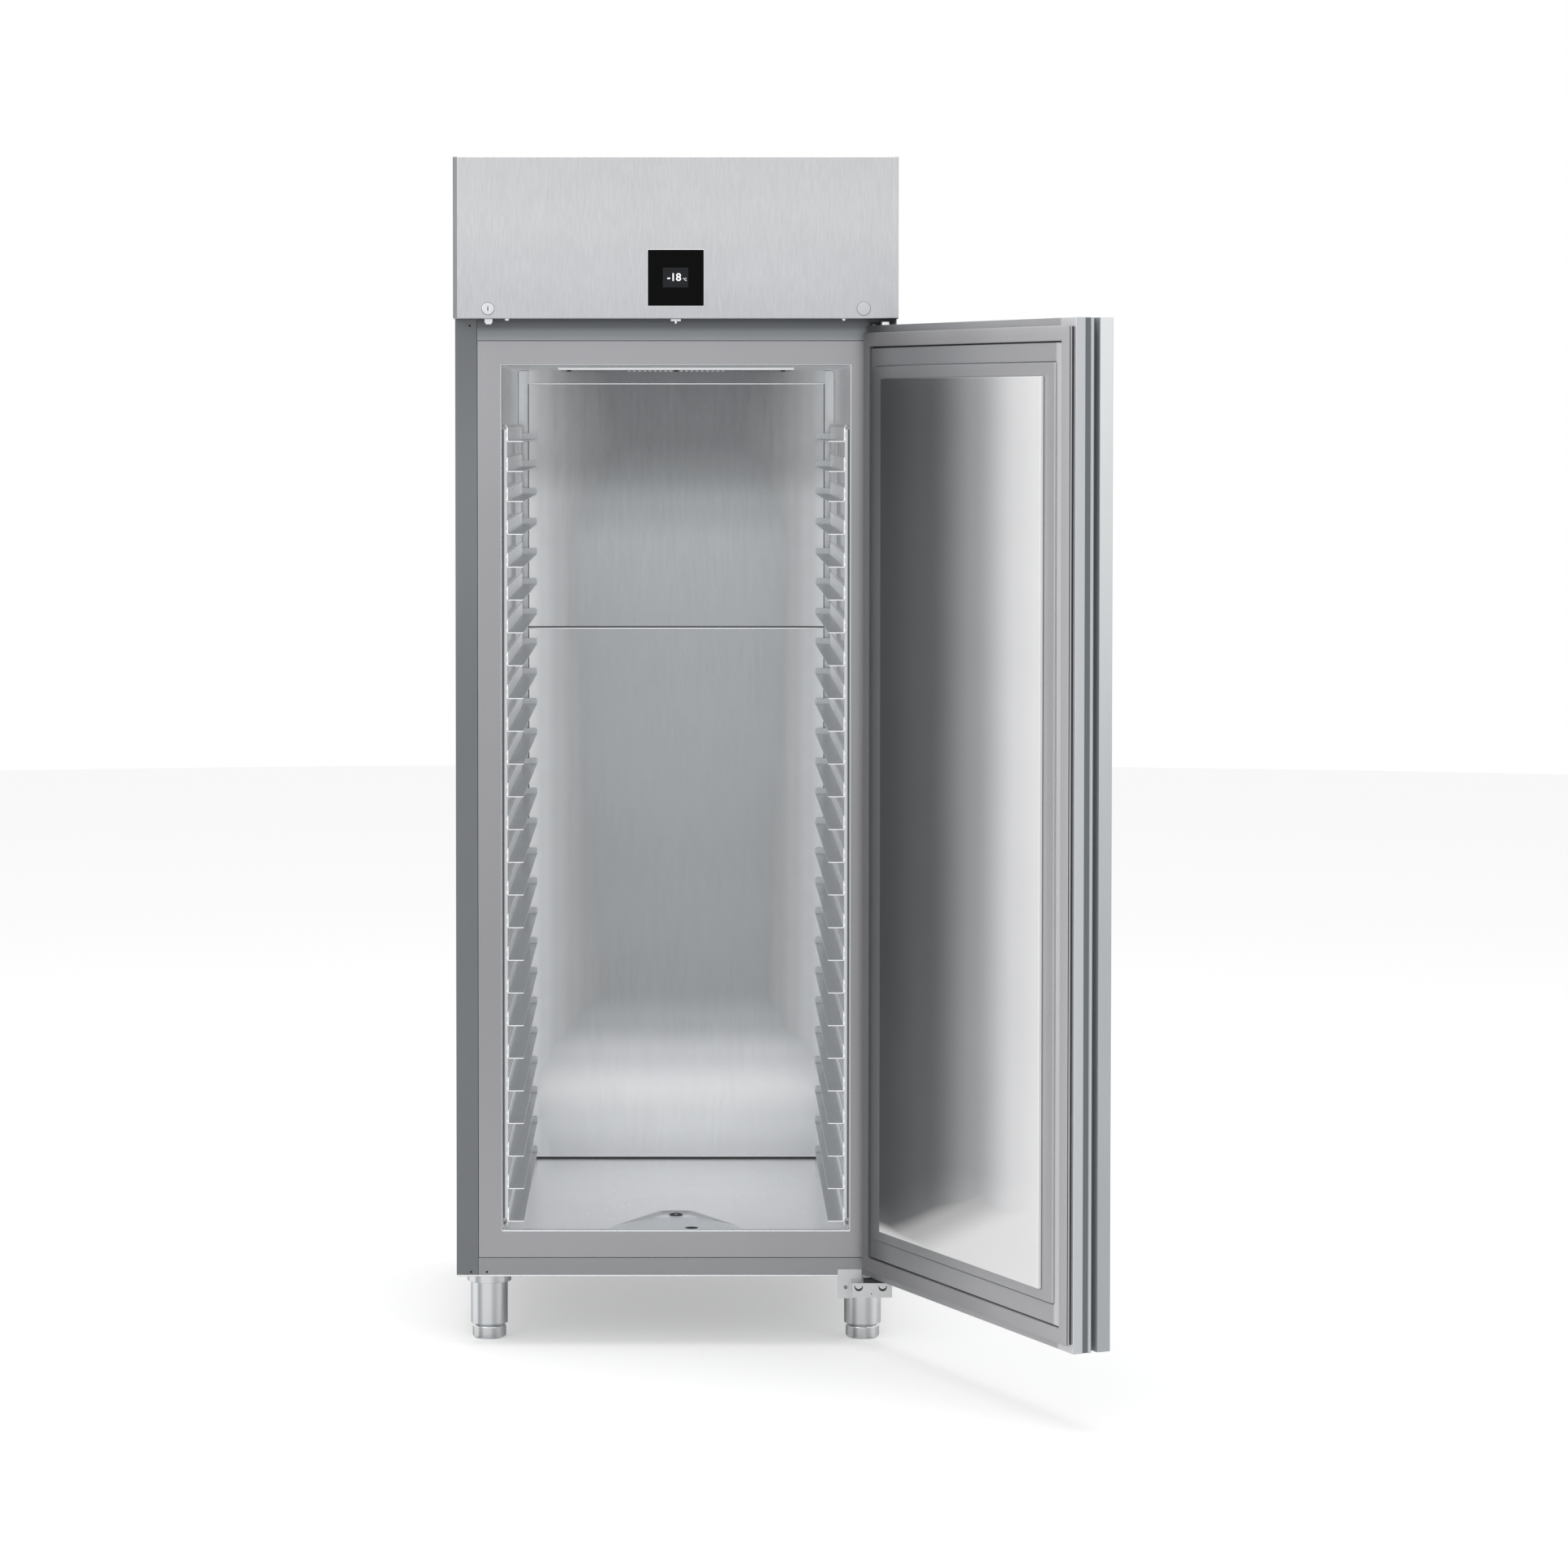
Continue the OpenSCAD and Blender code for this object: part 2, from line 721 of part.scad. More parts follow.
// Two hinge pins with their collars; each ends inside a bush of the door
module hinge_pins() {
  reach = 14;
  color("#E8EAEC") {
    post(hinge_x, hinge_y, block_hi - block_h, door_lo + reach, pin_r);
    post(hinge_x, hinge_y, door_hi - reach, deck, pin_r);
    post(hinge_x, hinge_y, door_hi + gap, deck - top_bracket_t, pin_r + 2.5);
  }
}

// Dark self-closing cam that the door's lower edge turns on
module hinge_cam() {
  color("#2E3032") difference() {
    union() {
      post(hinge_x, hinge_y, block_hi, door_lo - gap, 13);
      block([hinge_x - 36, hinge_y - 9, block_hi], [hinge_x, hinge_y + 9, block_hi + 6]);
    }
    post(hinge_x, hinge_y, block_hi - 1, door_lo + 1, pin_r);
  }
}

// Head casing

module machine_base() {
  color("#77797B") difference() {
    block([-half + sheet, front + fascia_d, deck], [half - sheet, back, deck + base_t]);
    air_passages(deck - 1, deck + base_t + 1);
    block([-lock_x - bolt_w / 2 - 1, bolt_y - gap, deck - 1],
          [-lock_x + bolt_w / 2 + 1, bolt_y + bolt_t + gap, deck + base_t + 1]);
  }
}

// Cover sheet: both sides and the top folded from one sheet
module head_cover() {
  color("#B9BBBD") difference() {
    block([-half, front + fascia_d, deck], [half, back, roof]);
    block([-half + sheet, front + fascia_d - 1, deck - 1], [half - sheet, back + 1, roof - sheet]);
  }
}

// Rear panel with air slots at both sides and a hole for the mains inlet
module head_back() {
  color("#8E9092") difference() {
    block([-half + sheet, back - sheet, deck + base_t], [half - sheet, back, roof - sheet]);
    for (x = [-inlet_x, inlet_x], z = [deck + 100 : 26 : roof - 50])
      block([x - 26, back - 2 * sheet, z], [x + 26, back + 1, z + 8]);
    block([inlet_x - 14, back - 2 * sheet, inlet_z - 14], [inlet_x + 14, back + 1, inlet_z + 14]);
  }
}

// Front panel of the head: a tray of sheet with bevelled upright edges
module fascia() {
  bevel = 8;
  side = 5;
  difference() {
    color("#D0D3D4") difference() {
      translate([0, 0, deck]) linear_extrude(head_h) polygon([
        [-half, front + fascia_d], [-half, front + side], [-half + bevel, front],
        [half - bevel, front], [half, front + side], [half, front + fascia_d]]);
      translate([0, 0, deck + sheet]) linear_extrude(head_h - 2 * sheet) polygon([
        [-half + sheet, front + fascia_d + 1], [-half + sheet, front + side + sheet],
        [-half + bevel + sheet, front + sheet], [half - bevel - sheet, front + sheet],
        [half - sheet, front + side + sheet], [half - sheet, front + fascia_d + 1]]);
    }
    for (x = [-lock_x, lock_x]) rod_y(x, lock_z, front - 1, front + 3, lock_bore);
    block([-display_w / 2 + 3, front - 1, deck + display_up - display_w / 2 + 3],
      [display_w / 2 - 3, front + 3, deck + display_up + display_w / 2 - 3]);
  }
}

// Display, lock and cap

module display_housing() {
  in = 3.1;
  color("#202224") block([-display_w / 2 + in, front, deck + display_up - display_w / 2 + in],
    [display_w / 2 - in, front + 22, deck + display_up + display_w / 2 - in]);
}

module display_glass() {
  color("#0B0B0C") block([-display_w / 2, front - 1.5, deck + display_up - display_w / 2],
    [display_w / 2, front, deck + display_up + display_w / 2]);
}

module lock_housing() {
  color("#DADCDE") difference() {
    union() {
      rod_y(-lock_x, lock_z, front - 1.5, front, lock_r);
      rod_y(-lock_x, lock_z, front - eps, front + 22, lock_bore - 0.1);
    }
    rod_y(-lock_x, lock_z, front - 2, front + 23, plug_r + pin_clear);
  }
}

// Turning plug with its key slot and, at the back, a cam with a pin for the bolt
module lock_cylinder() {
  color("#C8CACC") {
    difference() {
      rod_y(-lock_x, lock_z, front - 2, front + fascia_d + 1, plug_r);
      block([-lock_x - 0.8, front - 3, lock_z - 4.5], [-lock_x + 0.8, front + 8, lock_z + 4.5]);
    }
    rod_y(-lock_x, lock_z, front + 22.3, front + fascia_d + 1, cam_r + 3.5);
    rod_y(-lock_x + cam_x, lock_z + cam_x, front + fascia_d, bolt_y + bolt_t, cam_pin_r);
  }
}

// Flat bolt with a broad head; the cam pin runs in its cross slot
module lock_bolt() {
  slack = cam_pin_r + 0.55;
  nose = 4.5;
  w = bolt_head_w / 2;
  neck = lock_z - 3;
  color("#E6E8EA") difference() {
    translate([-lock_x, bolt_y + bolt_t, 0]) rotate([90, 0, 0]) linear_extrude(bolt_t) polygon([
      [-nose, bolt_tip], [nose, bolt_tip], [bolt_w / 2, bolt_tip + 4], [bolt_w / 2, neck], [w, neck],
      [w, lock_z + 16], [-w, lock_z + 16], [-w, neck], [-bolt_w / 2, neck], [-bolt_w / 2, bolt_tip + 4]]);
    block([-lock_x + cam_x - slack, bolt_y - 1, lock_z + cam_x - slack],
      [-lock_x + cam_r + slack, bolt_y + bolt_t + 1, lock_z + cam_x + slack]);
  }
}

module lock_cap() {
  color("#D6D8DA") {
    rod_y(lock_x, lock_z, front - 1.5, front, lock_r + 0.9);
    rod_y(lock_x, lock_z, front - eps, front + 12, lock_bore - 0.1);
  }
}

// Magnetic door contact under the head
module door_contact() {
  y = front + 45;
  color("#E4E6E8") {
    block([-9, y - 8, deck - 4], [9, y + 8, deck]);
    post(0, y, deck - 8, deck - 4 + eps, 2.5);
  }
}

// Refrigeration set

module compressor() {
  z0 = deck + base_t + 14;
  color("#1E1F21") translate([comp_x, comp_y, z0]) {
    rotate_extrude() polygon([[0, 0], [comp_r - 14, 0], [comp_r, 16], [comp_r, comp_h - 46],
      [comp_r - 10, comp_h - 20], [comp_r - 34, comp_h - 6], [0, comp_h]]);
    for (a = [45 : 90 : 315]) rotate([0, 0, a])
      translate([comp_r - 20, -14, 0]) cube([34, 28, 4]);
    translate([comp_r - 8, -30, 40]) cube([30, 60, 62]);
  }
}

module compressor_mounts() {
  color("#2B2B2B") for (a = [45 : 90 : 315]) translate([comp_x, comp_y, 0]) rotate([0, 0, a]) {
    post(comp_r, 0, deck + base_t, deck + base_t + 14, 9);
  }
}

// Fin block with through tubes
module fin_block(w, d, h, count, rows) {
  fin_t = 1.2;
  for (i = [0 : count - 1]) translate([i * (w - fin_t) / (count - 1), 0, 0]) cube([fin_t, d, h]);
  for (j = [1 : rows]) rod_x(d / 2, j * h / (rows + 1), -6, w + 6, 5);
}

module condenser() {
  color("#B0703C") translate([fan_x - cond_w / 2, cond_y, cond_z]) fin_block(cond_w, cond_d, cond_h, 30, 6);
}

module condenser_shroud() {
  y0 = cond_y + cond_d;
  color("#5A5C5E") difference() {
    block([fan_x - cond_w / 2, y0, deck + base_t],
          [fan_x + cond_w / 2, y0 + shroud_d, deck + base_t + cond_h]);
    block([fan_x - cond_w / 2 + 2, y0 - 1, deck + base_t + 2],
      [fan_x + cond_w / 2 - 2, y0 + shroud_d - 2, deck + base_t + cond_h - 2]);
    rod_y(fan_x, fan_z, y0 + shroud_d - 10, y0 + shroud_d + 1, fan_r + 3);
  }
}

// Fan wheel with five pitched blades; the axis runs along Z from the origin
module fan_wheel(r, hub, deep) {
  difference() {
    union() {
      cylinder(h = deep, r = hub);
      for (a = [0 : 72 : 288]) rotate([0, 0, a]) intersection() {
        translate([hub - 2, 0, deep / 2]) rotate([38, 0, 0])
          translate([0, -deep * 0.75, -0.8]) cube([r - hub + 2, deep * 1.5, 1.6]);
        cylinder(h = deep, r = r);
      }
    }
    translate([0, 0, -1]) cylinder(h = deep + 2, r = 4 + pin_clear);
  }
}

fan_deep = 26;

module condenser_fan() {
  color("#303030") translate([fan_x, fan_y + fan_deep, fan_z])
    rotate([90, 0, 0]) fan_wheel(fan_r, 34, fan_deep);
}

module evaporator_fan() {
  color("#303030") translate([cold_x, cold_y, cold_z]) fan_wheel(cold_fan_r, 30, fan_deep);
}

// Motor of each fan with its shaft, its arms and the rim they stand on
module fan_motors() {
  color("#9C9EA0") {
    rod_y(fan_x, fan_z, fan_y - 2, fan_y + fan_deep + 1, 4);
    rod_y(fan_x, fan_z, fan_y + fan_deep + 1, fan_y + fan_deep + 1 + motor_l, motor_r);
    for (s = [-1, 1]) {
      block([fan_x + s * 74 - 46, fan_y + fan_deep + 20, fan_z - 5],
            [fan_x + s * 74 + 46, fan_y + fan_deep + 28, fan_z + 5]);
      block([fan_x + s * 120 - 5, fan_y, deck + base_t],
            [fan_x + s * 120 + 5, fan_y + fan_deep + 28, fan_z + 5]);
    }
    post(cold_x, cold_y, cold_z - 2, cold_z + fan_deep + 1, 4);
    post(cold_x, cold_y, cold_z + fan_deep + 1, cold_z + fan_deep + 1 + motor_l, motor_r);
    for (s = [-1, 1]) {
      block([cold_x + s * 66 - 40, cold_y - 5, cold_z + fan_deep + 8],
            [cold_x + s * 66 + 40, cold_y + 5, cold_z + fan_deep + 14]);
      block([cold_x + s * 103 - 4, cold_y - 8, deck + base_t],
            [cold_x + s * 103 + 4, cold_y + 8, cold_z + fan_deep + 14]);
    }
  }
}

// Insulated box over the air passages, open at its underside
module cold_box() {
  color("#DCD6BE") difference() {
    block([-box_x, box_y0, deck + base_t], [box_x, box_y1, box_hi]);
    block([-box_x + box_wall, box_y0 + box_wall, deck],
      [box_x - box_wall, cav_back - sheet, box_hi - box_wall]);
    rod_x(coil_y + coil_d / 2, port_z, box_x - box_wall - 1, box_x + 1, 6.5);
    rod_x(coil_y + coil_d / 2, return_z, -box_x - 1, -box_x + box_wall + 1, 6.5);
  }
}

module evaporator() {
  color("#B8BABC") translate([-coil_x, coil_y, coil_z]) fin_block(2 * coil_x, coil_d, coil_h, 34, 4);
}

// Bent tube through corner points that lie in line with the axes
module pipe(points, r) {
  for (i = [0 : len(points) - 2]) {
    a = points[i];
    b = points[i + 1];
    d = b - a;
    l = norm(d);
    translate(a) rotate([0, acos(d[2] / l), atan2(d[1], d[0])]) cylinder(h = l, r = r);
  }
  for (i = [1 : len(points) - 2]) translate(points[i]) sphere(1.2 * r);
}

// Copper lines: hot gas, liquid and suction
module refrigerant_pipes() {
  gas_z = deck + base_t + 115;
  gas_y = cond_y + cond_d / 2;
  gas_in = cond_z + cond_h * 6 / 7;
  liquid_z = cond_z + cond_h / 7;
  coil_mid = coil_y + coil_d / 2;
  return_x = -box_x - 30;
  color("#B8763E") {
    pipe([[comp_x, comp_y - comp_r - gap, gas_z], [comp_x, gas_y, gas_z], [comp_x, gas_y, gas_in],
      [fan_x - cond_w / 2 - 6, gas_y, gas_in]], 5);
    pipe([[fan_x + cond_w / 2 + 6, gas_y, liquid_z], [liquid_x, gas_y, liquid_z],
      [liquid_x, dryer_y, liquid_z]], 5);
    pipe([[liquid_x, dryer_y + dryer_l, liquid_z], [liquid_x, coil_mid, liquid_z],
      [liquid_x, coil_mid, port_z], [coil_x + 6, coil_mid, port_z]], 5);
    pipe([[-coil_x - 6, coil_mid, return_z], [return_x, coil_mid, return_z],
      [return_x, comp_y, return_z], [comp_x - comp_r - gap, comp_y, return_z]], 5);
  }
}

module filter_dryer() {
  color("#A8643A") rod_y(liquid_x, cond_z + cond_h / 7, dryer_y, dryer_y + dryer_l, 14);
}

module control_box() {
  color("#3C3E40") block([-130, front + 60, deck + base_t], [-40, front + 150, deck + base_t + 120]);
}

// Inlet for the mains lead at the back of the head
module mains_inlet() {
  color("#1A1A1A") difference() {
    union() {
      block([inlet_x - 14, back - 24, inlet_z - 14], [inlet_x + 14, back, inlet_z + 14]);
      block([inlet_x - 20, back, inlet_z - 20], [inlet_x + 20, back + 2, inlet_z + 20]);
    }
    block([inlet_x - 10, back - 16, inlet_z - 10], [inlet_x + 10, back + 3, inlet_z + 10]);
  }
}

// Door

// Block of the door's core between two heights and two sideways places
module core(x0, x1, z0, z1) {
  block([x0, front + sheet, z0], [x1, rim_y - sheet, z1]);
}

module door_skin() {
  color("#CDCFD1") opened() translate([0, 0, door_lo]) linear_extrude(door_hi - door_lo) polygon([
    [-door_x, front + grip_lip], [-door_x, front], [door_x, front], [door_x, rim_y - sheet],
    [door_x - sheet, rim_y - sheet], [door_x - sheet, front + sheet],
    [-door_x + sheet, front + sheet], [-door_x + sheet, front + grip_lip]]);
}

// Fields of the liner, shrunk by the sheet where the foam fills them
module liner_fields(s, y0) {
  block([-field_x + s, y0, door_mid - field_z + s],
        [field_x - s, rim_y + field_h - s, door_mid + field_z - s]);
  block([-step_x + s, y0, step_lo + s], [step_x - s, rim_y + field_h + step_h - s, step_hi - s]);
}

module door_foam() {
  color("#E6DEC0") opened() {
    core(core_x0, core_x1, door_lo + cap_h, door_hi - cap_h);
    liner_fields(sheet, rim_y - 2 * sheet);
  }
}

module door_liner() {
  color("#A4A6A8") opened() difference() {
    union() {
      block([-door_x, rim_y - sheet, door_lo], [door_x, rim_y, door_hi]);
      liner_fields(0, rim_y - sheet);
    }
    liner_fields(sheet, rim_y - 2 * sheet);
  }
}

module door_panel() {
  y0 = rim_y + field_h + step_h;
  y1 = rim_y + panel_h;
  color("#D9DBDD") opened() difference() {
    block([-panel_x, y0, panel_lo], [panel_x, y1, panel_hi]);
    block([-panel_x + sheet, y0 - 1, panel_lo + sheet], [panel_x - sheet, y1 - sheet, panel_hi - sheet]);
  }
}

// Hollow magnetic gasket with a grooved side; its crown clears the frame on the swing
module door_gasket() {
  top = rim_y + gasket_h;
  reach = hinge_x - seal_x;
  u1 = gasket_w - 1;
  u2 = gasket_w - 6;
  crown = function (u) min(top, hinge_y + sqrt(pow(swing_r, 2) - pow(max(0, u - reach), 2)));
  color("#A8A9AB") opened() ring(seal_x, seal_z, door_mid, concat(
    [[-1, rim_y], [-1, top - 0.1], [reach, top - 0.1]],
    [for (i = [1 : 5]) let (u = reach + i * (u1 - reach) / 5) [u, crown(u) - 0.2]],
    [[gasket_w, crown(gasket_w) - 1], [gasket_w, rim_y + 5], [u2, rim_y + 5], [u2, rim_y + 3.6],
      [gasket_w, rim_y + 3.6], [gasket_w, rim_y]]),
    rim_y - 1, top + 1);
}

// Full-height strip of the free edge with its finger groove
module grip_profile() {
  e = -door_x;
  d = grip_deep;
  l = front + grip_lip;
  color("#B6B8BA") opened() translate([0, 0, door_lo]) linear_extrude(door_hi - door_lo) polygon([
    [e + sheet, front + sheet], [e + sheet, l], [e + d, l], [e + d, l + 9], [e + d - 2.5, l + 11.5],
    [e, l + 11.5], [e, l + 15], [e + 2.5, l + 16.5], [e + 2.5, l + 24.5], [e, l + 26],
    [e, rim_y - sheet], [core_x0, rim_y - sheet], [core_x0, front + sheet]]);
}

// End caps with the bores of the hinge pins. The upper cap is in two lengths, and
// the lock's bolt drops between two keeper jaws that are set between them.
module door_caps() {
  slot = bolt_w / 2 + 1.5;
  bore = 16;
  z0 = door_hi - cap_h;
  color("#4C4E50") opened() {
    difference() {
      union() {
        core(core_x0, core_x1, door_lo, door_lo + cap_h);
        core(core_x0, -lock_x - slot, z0, door_hi);
        core(-lock_x + slot, core_x1, z0, door_hi);
      }
      post(hinge_x, hinge_y, door_lo - 1, door_lo + bore, pin_r + pin_clear);
      post(hinge_x, hinge_y, door_hi - bore, door_hi + 1, pin_r + pin_clear);
    }
    block([-lock_x - slot + 2 * seam, front + sheet, z0], [-lock_x + slot - 2 * seam, bolt_y - 1.5, door_hi]);
    block([-lock_x - slot + 2 * seam, bolt_y + bolt_t + 1.5, z0],
          [-lock_x + slot - 2 * seam, rim_y - sheet, door_hi]);
  }
}

casing_left();
casing_right();
casing_back();
casing_bottom();
casing_top();
cabinet_foam();
inner_liner();
front_frame();
drain_spout();
drain_strainer();
drain_stopper();
duct_panel_upper();
duct_panel_lower();
ceiling_cover();
panel_screws();
rack_left();
rack_right();
rails_left();
rails_right();
legs();
foot_front_left();
foot_front_right();
foot_back_left();
foot_back_right();
hinge_bracket_low();
hinge_bracket_top();
hinge_screws();
hinge_pins();
hinge_cam();
machine_base();
head_cover();
head_back();
fascia();
display_housing();
display_glass();
lock_housing();
lock_cylinder();
lock_bolt();
lock_cap();
door_contact();
compressor();
compressor_mounts();
condenser();
condenser_shroud();
condenser_fan();
fan_motors();
cold_box();
evaporator();
evaporator_fan();
refrigerant_pipes();
filter_dryer();
control_box();
mains_inlet();
door_skin();
door_foam();
door_liner();
door_panel();
door_gasket();
grip_profile();
door_caps();
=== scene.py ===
# %% [markdown]
# # A bakery freezer with its door open
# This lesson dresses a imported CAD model: the CAD parts keep their places, the ones
# whose shape is right get a better finish, and the ones that a buyer looks at closely
# are made again as smooth surfaces. Every length is written in millimetres, as on a
# workshop drawing, and turned into metres once, when a mesh is made.

# %% Load the frame
import math
import bmesh
import bpy
import numpy as np
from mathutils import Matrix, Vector


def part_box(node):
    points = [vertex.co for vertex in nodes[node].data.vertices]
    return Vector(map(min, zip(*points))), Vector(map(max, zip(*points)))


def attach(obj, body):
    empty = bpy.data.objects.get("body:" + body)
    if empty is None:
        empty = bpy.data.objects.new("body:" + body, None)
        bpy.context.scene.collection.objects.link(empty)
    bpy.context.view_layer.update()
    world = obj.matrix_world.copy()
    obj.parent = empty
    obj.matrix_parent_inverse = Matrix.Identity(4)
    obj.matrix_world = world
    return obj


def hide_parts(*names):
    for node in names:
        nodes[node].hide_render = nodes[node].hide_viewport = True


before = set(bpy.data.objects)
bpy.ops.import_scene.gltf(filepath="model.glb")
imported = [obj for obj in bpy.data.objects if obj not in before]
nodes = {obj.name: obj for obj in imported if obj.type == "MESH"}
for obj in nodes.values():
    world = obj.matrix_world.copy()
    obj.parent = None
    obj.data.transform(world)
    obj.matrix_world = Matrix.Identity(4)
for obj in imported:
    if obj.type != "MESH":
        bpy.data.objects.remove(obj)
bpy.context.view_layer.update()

# %% [markdown]
# ## Measures
# The CAD model can be asked for the box of any of its parts. Reading the main planes
# from there, instead of typing them again, keeps the new pieces on the parts that
# carry them.

# %% Main planes, in millimetres
def planes(node):
    """Lowest and highest corner of a CAD part in millimetres."""
    low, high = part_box(node)
    return np.array(low) * 1000, np.array(high) * 1000

(_, front, deck), (half, fascia_back, roof) = planes("fascia")
(_, cab_front, strip_lo), (strip_x, cav_front, strip_hi) = planes("front_frame")
liner_sheet = 1
cav_x = planes("inner_liner")[1][0] - liner_sheet
cav_lo, cav_hi, cav_back = 212.0, 1767.5, 440.0
print("front", round(front), "deck", round(deck), "roof", round(roof), "cavity", round(2 * cav_x))

# %% [markdown]
# ## From formulas to meshes
# Nearly every piece here is a stack of rings: a closed outline, repeated with small
# changes from one end of the piece to the other. Neighbouring rings are joined by
# quads and the ends are closed by one face each, so the mesh is watertight.

# %% Rings to faces
def stack(rings, wrap=False):
    """Points and faces of a grid whose rows are closed rings. Point (r, c) is joined to
    (r, c+1) and (r+1, c), with c+1 taken round the ring; with wrap the last ring meets
    the first, otherwise each end ring becomes one face."""
    rings = np.asarray(rings, float)
    count, size = rings.shape[:2]
    index = np.arange(count * size).reshape(count, size)
    rows = np.vstack([index, index[:1]]) if wrap else index
    side = np.roll(rows, -1, axis=1)
    faces = np.stack([rows[:-1], side[:-1], side[1:], rows[1:]], -1).reshape(-1, 4).tolist()
    if not wrap:
        faces += [index[0][::-1].tolist(), index[-1].tolist()]
    return rings.reshape(-1, 3), faces

square = [(0, 0, 0), (1, 0, 0), (1, 1, 0), (0, 1, 0)]
print("a cube from two squares has", len(stack([square, np.add(square, (0, 0, 1))])[1]), "faces")

# %% Put a piece in the scene
def show(name, data):
    """A new object in the scene for a mesh, curve, lamp or camera."""
    made = bpy.data.objects.new(name, data)
    bpy.context.scene.collection.objects.link(made)
    return made

def piece(name, parts, finish, body, instead_of=(), sharp=32):
    """One object from a list of (points, faces) in millimetres. Doubles are merged, the
    faces turned outwards, and edges sharper than the given angle stay crisp. Shading is
    weighted by face area, so a wide flat face stays flat beside its small fold."""
    points, faces, start = [], [], 0
    for p, f in parts:
        points.append(p)
        faces += [[start + i for i in face] for face in f]
        start += len(p)
    mesh = bpy.data.meshes.new(name)
    mesh.from_pydata((np.vstack(points) / 1000).tolist(), [], faces)
    work = bmesh.new()
    work.from_mesh(mesh)
    bmesh.ops.remove_doubles(work, verts=work.verts, dist=2e-6)
    bmesh.ops.recalc_face_normals(work, faces=work.faces)
    work.to_mesh(mesh)
    work.free()
    mesh.shade_smooth()
    mesh.set_sharp_from_angle(angle=math.radians(sharp))
    mesh.materials.append(finish)
    made = show(name, mesh)
    flat = made.modifiers.new("flat faces stay flat", "WEIGHTED_NORMAL")
    flat.keep_sharp = True
    if instead_of:
        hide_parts(*instead_of)
    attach(made, body)
    print(f"{name}: {len(mesh.polygons)} faces")
    return made

# %% Outlines
def rounded(corners, radius, steps=4):
    """A closed outline with rounded corners. At each corner the arc's ends lie r/tan(h)
    along both sides, h being half the inner angle, and the points between them are found
    by turning evenly from one end to the other about the arc's centre."""
    p = np.asarray(corners, float)
    r = np.broadcast_to(np.asarray(radius, float), len(p))[:, None]
    back, ahead = np.roll(p, 1, 0) - p, np.roll(p, -1, 0) - p
    back /= np.linalg.norm(back, axis=1)[:, None]
    ahead /= np.linalg.norm(ahead, axis=1)[:, None]
    h = np.arccos(np.clip((back * ahead).sum(1), -1, 1))[:, None] / 2
    middle = back + ahead
    centre = p + middle / np.linalg.norm(middle, axis=1)[:, None] * r / np.sin(h)
    a, b = p + back * r / np.tan(h) - centre, p + ahead * r / np.tan(h) - centre
    turn = (np.pi - 2 * h)[:, None]
    t = np.linspace(0, 1, steps + 1)[None, :, None]
    arc = (np.sin((1 - t) * turn) * a[:, None] + np.sin(t * turn) * b[:, None]) / np.sin(turn)
    return (centre[:, None] + arc).reshape(-1, 2)

print("a rounded rectangle has", len(rounded([(0, 0), (29, 0), (29, 13), (0, 13)], 2.0)), "points")

def window(x, low, high, radius, floor_steps=1, arc=5):
    """A rounded rectangle of half width x between two heights, run round from its lower
    left corner; the floor side may be divided into many equal steps."""
    parts = []
    for k, (cx, cz) in enumerate([(-x + radius, low + radius), (x - radius, low + radius),
                                  (x - radius, high - radius), (-x + radius, high - radius)]):
        a = np.radians(180 + 90 * k + np.linspace(0, 90, arc + 1))
        parts.append(np.column_stack([cx + radius * np.cos(a), cz + radius * np.sin(a)]))
        if k == 0:
            t = np.linspace(0, 1, floor_steps + 1)[1:-1]
            parts.append(np.column_stack([cx + t * 2 * (x - radius), np.full(len(t), low)]))
    return np.vstack(parts)

# %% Placing outlines in space
def facing(outline, y):
    """An outline in X and Z, set at depth y."""
    return np.column_stack([outline[:, 0], np.full(len(outline), y), outline[:, 1]])

def prism(outline, low, high, axis):
    """The outline carried straight from low to high along one axis; its two values run
    along the other two axes in the order X, Y, Z."""
    return stack([np.insert(outline, axis, at, axis=1) for at in (low, high)])

def plate(low, high, corner, edge, arc=5):
    """A rounded rectangle seen from the front, whose front and back edges are quarter
    rounds: at angle a the outline shrinks by e(1 - sin a) while it moves in by e(1 - cos a)."""
    (x0, y0, z0), (x1, y1, z1) = low, high
    a = np.radians(np.linspace(0, 90, 5))
    shrink, inwards = edge * (1 - np.sin(a)), edge * (1 - np.cos(a))
    depth = np.concatenate([y0 + inwards, (y1 - inwards)[::-1]])
    rings = []
    for y, s in zip(depth, np.concatenate([shrink, shrink[::-1]])):
        o = window((x1 - x0) / 2 - s, z0 + s, z1 - s, max(corner - s, 0.05), arc=arc)
        rings.append(facing(o + [(x0 + x1) / 2, 0], y))
    return stack(rings)

def turned(profile, centre, axis=2, steps=48, wrap=False):
    """A lathe piece: each profile pair (radius, height) becomes a circle of that radius
    at that height above the centre, along Z for axis 2 or along Y for axis 1. With wrap
    the profile is a closed section, so the piece has a hole through it."""
    r, h = np.asarray(profile, float).T
    a = np.linspace(0, 2 * np.pi, steps, endpoint=False)
    u, v = r[:, None] * np.cos(a), r[:, None] * np.sin(a)
    w = np.broadcast_to(h[:, None], u.shape)
    rings = np.stack([u, v, w] if axis == 2 else [u, w, v], -1)
    return stack(rings + np.asarray(centre, float), wrap)

# %% [markdown]
# ## Colours and nodes
# Colours are picked as sRGB hex values, as on a colour card, and a shader wants linear
# light, so one function converts them. The others add a node with its links, blend two
# colours and start an empty material.

